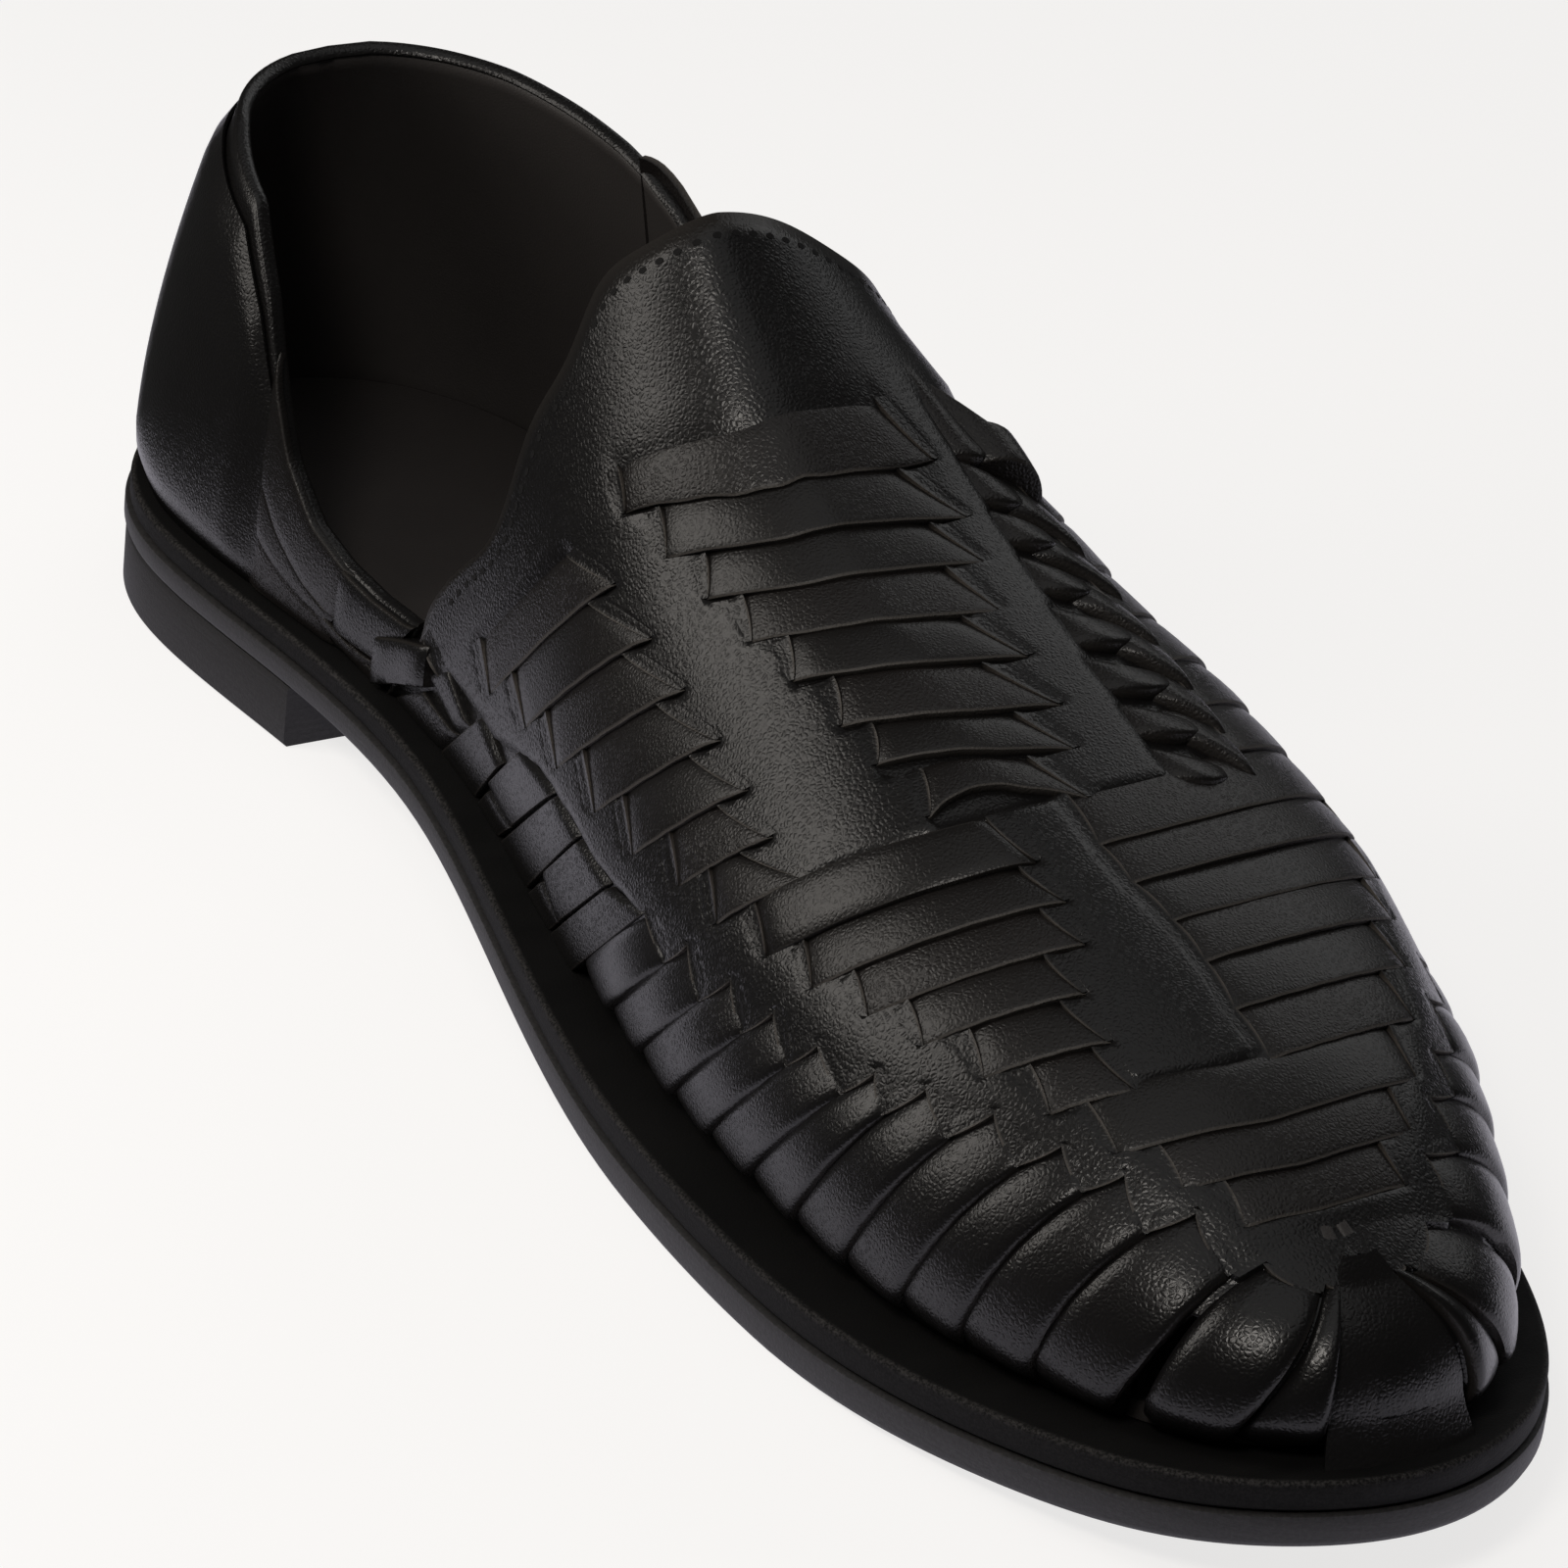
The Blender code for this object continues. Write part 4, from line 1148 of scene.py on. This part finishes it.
@dataclass
class SlitLips:
    """Edges of the slits that the strips pass through: the band is pushed up over each strip's end."""

    face: WovenFace
    skin: VampSkin
    reach: float = 2.8 * MM
    arch: float = 0.14 * MM
    thick: float = 0.6 * MM
    overhang: float = 0.45 * MM
    stations: int = 11

    # Loop of a lip: place back from the slit, drop below the face in lip thicknesses, and cut.
    BACK = np.array([1.0, .72, .48, .28, .12, 0, 0, .2, .8])
    DROP = np.array([.15, 0, -.06, -.1, -.1, -.05, 1.0, 1.1, 1.2])
    CUT = np.array([0, 0, 0, 0, 0, .8, 1.0, 0, 0])
    # Share of a slit's length that a lip runs past its end, and the small step for its scale.
    SPARE = 0.03
    PROBE = 0.01

    def build(self, ends: Array, back_to: tuple[float, float], seed: int, raise_by: float = 1.0,
              early: float = SPARE) -> Tubes:
        """Points of the lips: height = skin + arch * sin(pi * along)^0.7 * (1 - back)^2, less the drop.

        Args:
            ends: upper and lower corner of each slit as (line, over).
            back_to: direction from the slit into the band as (line, over).
            seed: seed of the random heights.
            raise_by: factor on the arch.
            early: share of the slit's length that the lip begins before it.

        Returns:
            Points by slit, station and loop place, then the tone and the cut attribute.
        """
        draw = np.random.default_rng(seed)
        count = len(ends)
        ahead, aside = (share * self.PROBE for share in back_to)
        middle = ends.mean(1)
        before = self.face.point(middle[:, 0] - ahead, middle[:, 1] - aside)
        after = self.face.point(middle[:, 0] + ahead, middle[:, 1] + aside)
        scale = np.linalg.norm(after - before, axis=-1) / (2 * self.PROBE)
        along = np.linspace(-early, 1 + self.SPARE, self.stations)[None, :, None]
        bow = np.clip(np.sin(np.pi * (along + self.SPARE) / (1 + 2 * self.SPARE)), 0, 1) ** .7
        slit = ends[:, None, 0] + (ends[:, 1] - ends[:, 0])[:, None] * along[..., 0][..., None]
        back = self.BACK[None, None, :]
        step = (back * self.reach - bow * self.overhang * (1 - back)) / scale[:, None, None]
        line = slit[..., 0][..., None] + back_to[0] * step
        over = slit[..., 1][..., None] + back_to[1] * step
        tall = draw.uniform(.75, 1.2, (count, 1, 1)) * self.arch * raise_by
        level = self.skin.band_height * (1 - back) + self.skin.height(line, over) * back
        height = level + tall * bow * (1 - back) ** 2 - self.DROP * self.thick
        points = self.face.at(line, over, height)
        tone = np.broadcast_to(draw.uniform(-.15, .2, (count, 1, 1)), points.shape[:3])
        cut = np.broadcast_to(self.CUT, points.shape[:3]) * bow
        return points, tone, cut


def plain(points: Array) -> Tubes:
    """Tubes with neither tone nor cut."""
    return points, np.zeros(points.shape[:3]), np.zeros(points.shape[:3])


def joined(name: str, parts: list[Tubes], finish: Finish, slot: str) -> Piece:
    """One piece from several sets of closed tubes.

    Args:
        name: name of the piece.
        parts: points, tone and cut of each set.
        finish: its material.
        slot: name of a material slot, kept on the piece but not used.

    Returns:
        The piece.
    """
    faces: list[list[int]] = []
    first = 0
    for points, _, _ in parts:
        count, stations, around = points.shape[:3]
        faces += [[first + corner for corner in face] for face in tube_faces(count, stations, around)]
        first += count * stations * around
    vertices = np.concatenate([points.reshape(-1, 3) for points, _, _ in parts])
    tone = np.concatenate([tone.ravel() for _, tone, _ in parts])
    cut = np.concatenate([cut.ravel() for _, _, cut in parts])
    return Piece(name, vertices, faces, [finish], slot, tone, cut)


@dataclass
class Weave:
    """All strips of the vamp and the lips of their slits."""

    face: WovenFace
    skin: VampSkin

    TABLES = (SIDE_STRIPS, INSTEP_STRIPS, OUTER_STRIPS, FRONT_INNER_STRIPS, FRONT_OUTER_STRIPS,
              TOE_STRIPS)
    # How many of the steps between rising strips have a lip, counted from the arch.
    LIPPED_STEPS = 10

    def build(self, strip: Finish, pulled: Finish, band: Finish) -> None:
        """Lays the strips of each level and the lips over their ends.

        Args:
            strip: finish of the strips over the vamp.
            pulled: finish of the strips that rise from the sole.
            band: finish of the lips.
        """
        rising = rising_corners()
        for name, layers, finish in (("vamp_strips", self.vamp_layers(), strip),
                                     ("side_strips", self.side_layers(rising), pulled),
                                     ("basket_blocks", self.basket_layers(), band)):
            joined(name, [layer.build() for layer in layers], finish, UPPER_SLOT).add()
        self.lips(rising, band).add()

    def vamp_layers(self) -> list[StripLayer]:
        """Strips of the vamp. The first strip of the front inner level is laid over the band by itself."""
        layers = []
        for number, rows in enumerate(self.TABLES):
            corners = strip_corners(rows)[1 if rows is FRONT_INNER_STRIPS else 0:]
            bow = INSTEP_BOW if rows is INSTEP_STRIPS else (0.0,)
            layers.append(StripLayer(self.face, corners, 11 + number, stations=44, bow=bow, ragged=.005))
        over_band = strip_corners(FRONT_INNER_STRIPS)[:1]
        layers.append(StripLayer(self.face, over_band, 17, FLAT, stations=44, dip_start=.6, dip_end=.6,
                                 lift=1.2, ragged=.005, tuck=0))
        layers.append(StripLayer(self.face, strip_corners(POINTED_STRIPS), 21, ROLLED, lift=1.3, arch=.5,
                                 bow=(.12,), ragged=0))
        layers.append(StripLayer(self.face, strip_corners(SLANTED_STRIPS), 22, ROLLED, lift=1.5, arch=.3,
                                 dip_start=.5, dip_end=.9, ragged=0))
        layers.append(StripLayer(self.face, strip_corners(LOOSE_LOOP), 23, FLAT, lift=1.2, arch=3.0,
                                 dip_start=.5, dip_end=.5, ragged=0))
        return layers

    def side_layers(self, rising: Array) -> list[StripLayer]:
        """Strips that rise from the sole on both sides, and the middle strip at the tip of the toe."""
        layers = [StripLayer(self.face, corners, 31 + number, ROLLED, stations=36, dip_start=2.6,
                             dip_end=.5, dip_reach=4.0, end_reach=12.0, under_start=0, lift=1.3, arch=.3,
                             bow=RISING_BOW, ragged=.004)
                  for number, corners in enumerate((rising, mirrored(rising)))]
        layers.append(StripLayer(ToeFace(self.face), TOE_TIP, 41, FLAT, stations=36, dip_start=2.6,
                                 dip_end=.65, dip_reach=4.0, end_reach=14.0, under_start=0, arch=.3,
                                 ragged=0))
        return layers

    def basket_layers(self) -> list[StripLayer]:
        """Basket blocks on both sides, and the loop that holds the strap."""
        blocks = strip_corners(BASKET_BLOCKS)
        layers = [StripLayer(self.face, corners, 51 + number, FLAT, stations=16, dip_start=0, dip_end=.1,
                             end_reach=1.0, under_start=.3, under_end=1.0, ragged=0, tuck=0, overlap=0)
                  for number, corners in enumerate((blocks, mirrored(blocks)))]
        layers.append(StripLayer(self.face, strip_corners(STRAP_LOOP), 54, FLAT, stations=20,
                                 under_start=0, under_end=1.0, lift=2.2, ragged=0, tuck=0, overlap=0))
        return layers

    def lips(self, rising: Array, band: Finish) -> Piece:
        """Lips over the ends and sides of the strips and the rolled edge of the tab's lower corners.

        Args:
            rising: corners of the rising strips on the inner side.
            band: finish of the lips.

        Returns:
            The piece.
        """
        lips = SlitLips(self.face, self.skin)
        level = np.concatenate([strip_corners(rows) for rows in self.TABLES])
        flaps = [lips.build(level[:, :2], (0, -1), 61), lips.build(level[:, 2:], (0, 1), 62)]
        steps = np.stack([rising[:-1, 3], rising[1:, 2]], 1)[:self.LIPPED_STEPS]
        for seed, turn in ((63, 1), (65, -1)):
            flip = np.array([1.0, turn])
            flaps.append(lips.build(rising[:, 2:] * flip, (0, turn), seed, raise_by=.4, early=.16))
            flaps.append(lips.build(steps * flip, (-1, 0), seed + 1, raise_by=.6))
            flaps.append(lips.build(TAB_CORNER * flip, (0, turn), seed + 10, raise_by=4.5))
        return joined("slit_lips", flaps, band, UPPER_SLOT)


@dataclass
class RearWall:
    """Low straps and heel wall from the throat round the back, with a folded collar edge and counter."""

    last: Last
    thickness: float = 1.8 * MM
    wall_lift: float = 0.1 * MM
    counter_gap: float = 0.36 * MM
    counter_lift: float = 1.5 * MM
    skive: float = 8.0 * MM
    wall_columns: int = 90
    counter_columns: int = 60

    def runs(self, front: float, count: int) -> list[tuple[RearFace, Array]]:
        """Both halves of a run round the heel, each with its feet in order from front to back to front."""
        feet = front * (1 - np.linspace(0, 1, count) ** 1.3)
        return [(RearFace(self.last, Side.INNER), feet), (RearFace(self.last, Side.OUTER), feet[::-1])]

    def sheet(self, front: float, count: int, shares: Array, height: Array | float) -> Array:
        """Grid of points round the heel at given shares and heights.

        Args:
            front: station where the run begins and ends.
            count: columns on each side.
            shares: rows of the grid.
            height: height of each row off the wall.

        Returns:
            Points by column and row.
        """
        level = np.broadcast_to(height, shares.shape)[None, :]
        halves = [face.at(feet[:, None], shares[None, :], level)
                  for face, feet in self.runs(front, count)]
        return np.concatenate([halves[0], halves[1][1:]])

    def build(self, outside: Finish, lining: Finish, strip: Finish) -> None:
        """Makes the wall, its collar edge, the counter and the straps.

        Args:
            outside: finish of the wall.
            lining: finish of its inside.
            strip: finish of the strap's strips.
        """
        shares = np.linspace(0, 1, 25)
        wall = self.sheet(THROAT_FOOT, self.wall_columns, shares, self.wall_lift)
        faces = grid_faces(wall.shape[0], wall.shape[1]).tolist()
        made = Piece("rear_wall", wall, faces, [outside, lining], UPPER_SLOT, weld=True).add()
        wall_thickness(made, self.thickness)
        self.collar_edge(outside)
        self.counter(outside)
        self.straps(outside, strip)

    def collar_edge(self, finish: Finish) -> None:
        """Folded edge of the collar: a flat round carried along the top of the wall."""
        turn = np.linspace(0, 2 * np.pi, 12, endpoint=False)
        outward = (-.8 + 1.05 * np.cos(turn)) * MM
        upward = .6 * MM * np.sin(turn)
        halves = []
        for face, feet in self.runs(THROAT_FOOT, self.wall_columns):
            top = face.at(feet[:, None], np.ones((1, 1)), outward[None, :])
            halves.append(top + np.array([0, 0, 1.0]) * upward[None, :, None])
        loop = np.concatenate([halves[0], halves[1][1:]])[None]
        joined("collar_edge", [plain(loop)], finish, UPPER_SLOT).add()

    def counter(self, finish: Finish) -> None:
        """Heel overlay: the wall's face held off it, with thin rounded edges and skived front ends."""
        count = self.counter_columns
        thin = np.r_[.3, .85, np.ones(16), .85, .3]
        lift = self.counter_gap + self.counter_lift * thin
        inner = self.sheet(COUNTER_FRONT, count, np.linspace(.05, .93, len(thin)), self.counter_gap)
        outer = self.sheet(COUNTER_FRONT, count, np.linspace(.045, .935, len(thin)), lift)
        inner_run, outer_run = self.runs(COUNTER_FRONT, count)
        feet = np.concatenate([inner_run[1], outer_run[1][1:]])
        skived = .25 + .75 * ease((COUNTER_FRONT - feet) / self.skive)
        outer = inner + (outer - inner) * skived[:, None, None]
        loops = np.concatenate([outer, inner[:, ::-1]], axis=1)[None]
        piece = joined("heel_counter_overlay", [plain(loops)], finish, "counter_leather")
        piece.add(("heel_counter",))

    def straps(self, flap: Finish, strip: Finish) -> None:
        """Strips of the low straps between throat and counter, with a folded flap on the inner side."""
        # Corners (foot in millimetres, share): the strips run from the back to the throat.
        laced = [[(57, 1.0), (57, .60), (76, .95), (75.5, .36)],
                 [(57, .60), (57, .32), (75, .34), (74.5, .235)],
                 [(57, .32), (57, .02), (74, .22), (76, .02)],
                 [(71.5, .30), (71.5, .18), (88, .08), (88, -.04)],
                 [(78.8, .22), (79.2, .12), (85, .20), (85, .02)]]
        unlaced = [[(57, .52), (57, 1.02), (84, .50), (85, 1.02)],
                   [(57, .02), (57, .27), (87, .04), (88, .30)],
                   [(60, .25), (60, .50), (88, .28), (88, .52)]]
        folded = [[(74.2, 1.0), (76, .25), (88, 1.0), (86, .30)]]
        unit = np.array([MM, 1.0])
        inner, outer = RearFace(self.last, Side.INNER), RearFace(self.last, Side.OUTER)
        layers = [StripLayer(inner, np.array(laced) * unit, 71, FLAT, stations=24, dip_start=.4,
                             dip_end=.4, under_start=1, under_end=0, lift=.8, ragged=0),
                  StripLayer(outer, np.array(unlaced) * unit, 72, LAPPED, stations=24, dip_start=1.2,
                             dip_end=.4, dip_reach=6.0, under_start=1, under_end=0, ragged=0)]
        joined("strap_strips", [layer.build() for layer in layers], strip, UPPER_SLOT).add()
        fold = StripLayer(inner, np.array(folded) * unit, 73, FLAT, stations=24, under_start=0,
                          under_end=0, lift=1.3, ragged=0, tuck=0, overlap=0)
        joined("strap_flap", [fold.build()], flap, UPPER_SLOT).add()


@dataclass
class Sole:
    """Layers of the sole: rings round the outline, closed across between the inner and the outer edge."""

    last: Last
    outsole_share: float = 0.55
    setback: float = 0.6 * MM
    heel_setback: float = 0.4 * MM
    heel_breast: float = 72.0 * MM
    insole_thick: float = 2.5 * MM
    insole_inset: float = WALL + 1.2 * MM
    stations: int = 120

    def slab(self, name: str, levels: list[tuple[Array | float, float, float]], cuts: list[float],
             finish: Finish, slot: str, node: str, front: float = 1.0, feather: bool = False,
             floor: bool = False) -> bpy.types.Object:
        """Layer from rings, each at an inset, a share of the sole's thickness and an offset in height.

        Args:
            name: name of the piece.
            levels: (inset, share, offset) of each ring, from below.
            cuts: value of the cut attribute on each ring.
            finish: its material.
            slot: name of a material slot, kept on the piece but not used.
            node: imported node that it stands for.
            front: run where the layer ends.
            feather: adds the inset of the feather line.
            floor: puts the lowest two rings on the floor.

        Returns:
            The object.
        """
        runs = np.linspace(0, front, self.stations + 1)
        rings = []
        for number, (inset, share, offset) in enumerate(levels):
            x = LENGTH * (1 - np.cos(np.pi * runs)) / 2
            amount = inset + (np.interp(x, OUTLINE["x"], OUTLINE["inset"]) if feather else 0 * x)
            inner = self.last.inset_outline(Side.INNER, runs, amount)
            outer = self.last.inset_outline(Side.OUTER, runs, amount)
            plan = np.concatenate([inner, outer[::-1]])
            height = offset + (0 if floor and number < 2 else self.last.sole_height(plan[:, 0], share))
            rings.append(np.column_stack([plan, height + 0 * plan[:, 0]]) + self.last.shift)
        count = len(rings[0])
        corner = np.arange(count)
        after = (corner + 1) % count
        faces = [np.stack([corner, after, after + count, corner + count], -1) + level * count
                 for level in range(len(levels) - 1)]
        near = np.arange(self.stations)
        cap = np.stack([near, near + 1, count - 2 - near, count - 1 - near], -1)
        faces += [cap, cap + (len(levels) - 1) * count]
        cut = np.repeat(cuts, count)
        piece = Piece(name, np.concatenate(rings), np.concatenate(faces).tolist(), [finish], slot,
                      cut=cut, weld=True)
        return piece.add((node,))

    def build(self, midsole: Finish, outsole: Finish, heel: Finish,
              sock: Finish) -> None:
        """Makes the four layers.

        Args:
            midsole: finish of the midsole's edge and ledge.
            outsole: finish of the outsole.
            heel: finish of the heel block.
            sock: finish of the insole.
        """
        share = self.outsole_share
        self.slab("outsole_layer",
                  [(.9 * MM, 0, 0), (.3 * MM, 0, .25 * MM), (0, 0, .9 * MM), (0, share, -.9 * MM),
                   (.1 * MM, share, -.5 * MM), (.5 * MM, share, -.3 * MM)],
                  [.2, .3, .2, .2, .5, .3], outsole, "outsole_rubber", "outsole")
        # The ledge ring keeps the board's near-black colour, painted shade for the ledge under the upper.
        inset = self.setback
        self.slab("midsole_layer",
                  [(inset + .3 * MM, share, 0), (inset, share, .3 * MM), (inset, 1, -.8 * MM),
                   (inset + .12 * MM, 1, -.35 * MM), (inset + .4 * MM, 1, -.08 * MM),
                   (inset + .9 * MM, 1, 0)],
                  [.1, .1, .15, .9, .8, .0], midsole, "midsole_leather", "midsole")
        front = float(self.last.turn(self.heel_breast))
        back = self.heel_setback
        self.slab("heel_block",
                  [(back + .5 * MM, 0, 0), (back, 0, .5 * MM), (back, 0, -.8 * MM),
                   (back + .3 * MM, 0, -GAP)],
                  [.2, .3, .2, .2], heel, "heel_rubber", "heel", front, floor=True)
        deep = self.insole_inset
        top = GAP + self.insole_thick
        self.slab("insole_sock",
                  [(deep, 1, GAP), (deep, 1, top - .5 * MM), (deep + .15 * MM, 1, top - .15 * MM),
                   (deep + .5 * MM, 1, top)],
                  [0, 0, 0, 0], sock, "insole_leather", "insole", feather=True)


@dataclass(frozen=True)
class Softbox:
    """Soft light that faces the shoe.

    Its direction around is in degrees from +X, anticlockwise from above, and its direction above in degrees
    over the floor. Its brightness is the radiance of its face: white paper in full light has about 1.
    """

    name: str
    around: float
    above: float
    distance: float
    size: tuple[float, float]
    brightness: float
    tint: str = "#ffffff"

    def place(self) -> None:
        """Puts the light in the scene, turned towards the middle of the shoe."""
        turn, rise = np.radians([self.around, self.above])
        axis = np.array([np.cos(rise) * np.cos(turn), np.cos(rise) * np.sin(turn), np.sin(rise)])
        side = np.cross((0, 0, 1), axis)
        side /= np.linalg.norm(side)
        turned = np.eye(4)
        turned[:3, :3] = np.stack([side, np.cross(axis, side), axis], -1)
        turned[:3, 3] = axis * self.distance
        data = bpy.data.lights.new(self.name, "AREA")
        data.shape = "RECTANGLE"
        data.size, data.size_y = self.size
        data.energy = self.brightness * np.pi * self.size[0] * self.size[1]
        data.color = linear(self.tint)[:3]
        placed(self.name, data).matrix_world = Matrix(turned.tolist())


SOFTBOXES = (Softbox("overhead_softbox", 0, 88, 1.5, (1.4, 1.4), .42),
             Softbox("left_softbox", -123, 32, .464, (.17, .30), 3.7, "#fff9f2"),
             Softbox("front_softbox", -58, 50, 1.2, (.25, .25), 17.0, "#fff9f2"),
             Softbox("far_softbox", 120, 32, 1.2, (.9, .5), .7))


@dataclass
class Studio:
    """Camera at the photograph's angle, pale floor and soft light."""

    last: Last
    azimuth: float = 54.36
    elevation: float = 29.04
    roll: float = 7.37
    distance: float = 0.836
    aim: tuple[float, float, float] = (0.190, 0.0, 0.030)
    aim_pixel: tuple[float, float] = (992.0, 946.0)
    image_pixels: float = 1600.0
    focal_pixels: float = 7119.0
    sensor_mm: float = 36.0
    floor_glow: float = 0.83
    card_margins: tuple[float, float, float] = (0.031, 0.042, 0.250)
    card_glow: float = 0.95
    surround: float = 0.035

    def camera(self) -> None:
        """Places the camera and turns it so that the aim point lands on its pixel."""
        around, above, tilt = np.radians([self.azimuth, self.elevation, self.roll])
        right = np.array([np.cos(around), np.sin(around), 0])
        back = np.array([np.sin(around) * np.cos(above), -np.cos(around) * np.cos(above), np.sin(above)])
        up = np.cross(back, right)
        image_right = right * np.cos(tilt) + up * np.sin(tilt)
        image_up = up * np.cos(tilt) - right * np.sin(tilt)
        middle = self.image_pixels / 2
        aside, below = middle - self.aim_pixel[0], middle - self.aim_pixel[1]
        axis = back * self.focal_pixels - image_right * aside + image_up * below
        axis /= np.linalg.norm(axis)
        image_right -= axis * (axis @ image_right)
        image_right /= np.linalg.norm(image_right)
        turned = np.eye(4)
        turned[:3, :3] = np.stack([image_right, np.cross(axis, image_right), axis], -1)
        turned[:3, 3] = np.array(self.aim) + self.last.shift + back * self.distance
        data = bpy.data.cameras.new("photo_camera")
        data.sensor_width = self.sensor_mm
        data.lens = self.focal_pixels / self.image_pixels * self.sensor_mm
        data.clip_start = .01
        camera = placed("photo_camera", data)
        camera.matrix_world = Matrix(turned.tolist())
        bpy.context.scene.camera = camera

    def floor(self) -> None:
        """Pale matt floor: a wide sheet with a faint mottle."""
        half = 3.0
        corners = [(-half, -half, 0), (half, -half, 0), (half, half, 0), (-half, half, 0)]
        mesh = bpy.data.meshes.new("studio_floor")
        mesh.from_pydata(corners, [], [(0, 1, 2, 3)])
        paper, tree, shader = new_finish("matt_background_paper")
        place = add_node(tree, "ShaderNodeTexCoord", {}).outputs["Object"]
        mottle = add_node(tree, "ShaderNodeTexNoise", {"Scale": 4.0}, {"Vector": place})
        greys = {"data_type": "RGBA", 6: linear("#a09f9e"), 7: linear("#a3a2a1")}
        tint = add_node(tree, "ShaderNodeMix", greys, {0: mottle.outputs["Fac"]})
        tree.links.new(tint.outputs[2], shader.inputs["Base Color"])
        set_values(shader, {"Roughness": .9, "Specular IOR Level": .1,
                            "Emission Color": linear("#f6f5f4"), "Emission Strength": self.floor_glow})
        mesh.materials.append(paper)
        floor = placed("studio_floor", mesh)
        floor.visible_glossy = False
        floor.visible_diffuse = False

    def bounce_card(self) -> None:
        """White card under the shoe that lights its sides: the sole's outline set outwards, unseen."""
        runs = np.linspace(.03, .97, 40)
        rear, toe, outer = self.card_margins
        near = -np.interp(runs, (.6, .85), (rear, toe))
        far = np.full_like(runs, -outer)
        plan = np.concatenate([self.last.inset_outline(Side.INNER, runs, near),
                               self.last.inset_outline(Side.OUTER, runs, far)[::-1]])
        rim = np.column_stack([plan, np.full(len(plan), -.4 * MM)]) + self.last.shift
        mesh = bpy.data.meshes.new("bounce_card")
        mesh.from_pydata(rim, [], [list(range(len(rim)))])
        white, _, shader = new_finish("glowing_white_card")
        set_values(shader, {"Base Color": linear("#808080"), "Emission Color": linear("#ece8f4"),
                            "Emission Strength": self.card_glow})
        mesh.materials.append(white)
        card = placed("bounce_card", mesh)
        card.visible_camera = False
        card.visible_shadow = False

    def build(self) -> None:
        """Makes camera, floor, world, card and softboxes."""
        self.camera()
        self.floor()
        world = bpy.data.worlds.new("studio_surround")
        world.use_nodes = True
        tree = world.node_tree
        seen = add_node(tree, "ShaderNodeLightPath", {}).outputs["Is Camera Ray"]
        dark = (self.surround,) * 3 + (1.0,)
        shade = add_node(tree, "ShaderNodeMix", {"data_type": "RGBA", 6: dark, 7: linear("#f5f4f3")},
                         {0: seen})
        tree.links.new(shade.outputs[2], tree.nodes["Background"].inputs["Color"])
        bpy.context.scene.world = world
        bpy.context.scene.view_settings.view_transform = "Standard"
        self.bounce_card()
        for softbox in SOFTBOXES:
            softbox.place()


def main() -> None:
    """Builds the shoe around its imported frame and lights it."""
    logging.basicConfig(level=logging.INFO, format="%(name)s %(message)s")
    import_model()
    low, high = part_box("outsole")
    last = Last(np.array(low), np.array(high))
    Studio(last).build()
    band, strip, pulled = BAND_CALF.material(), STRIP_CALF.material(), PULLED_CALF.material()
    lining = LINING_CALF.material()
    face = WovenFace(last)
    skin = VampSkin(face)
    skin.build(band, lining)
    StitchHoles(face, skin).build(HOLE_SHADE_PAINT.material())
    Weave(face, skin).build(strip, pulled, band)
    RearWall(last).build(band, lining, strip)
    Sole(last).build(MIDSOLE_INK_AND_SHADE.material(), OUTSOLE_RUBBER.material(), HEEL_RUBBER.material(),
                     SOCK_CALF.material())


if __name__ == "__main__":
    main()
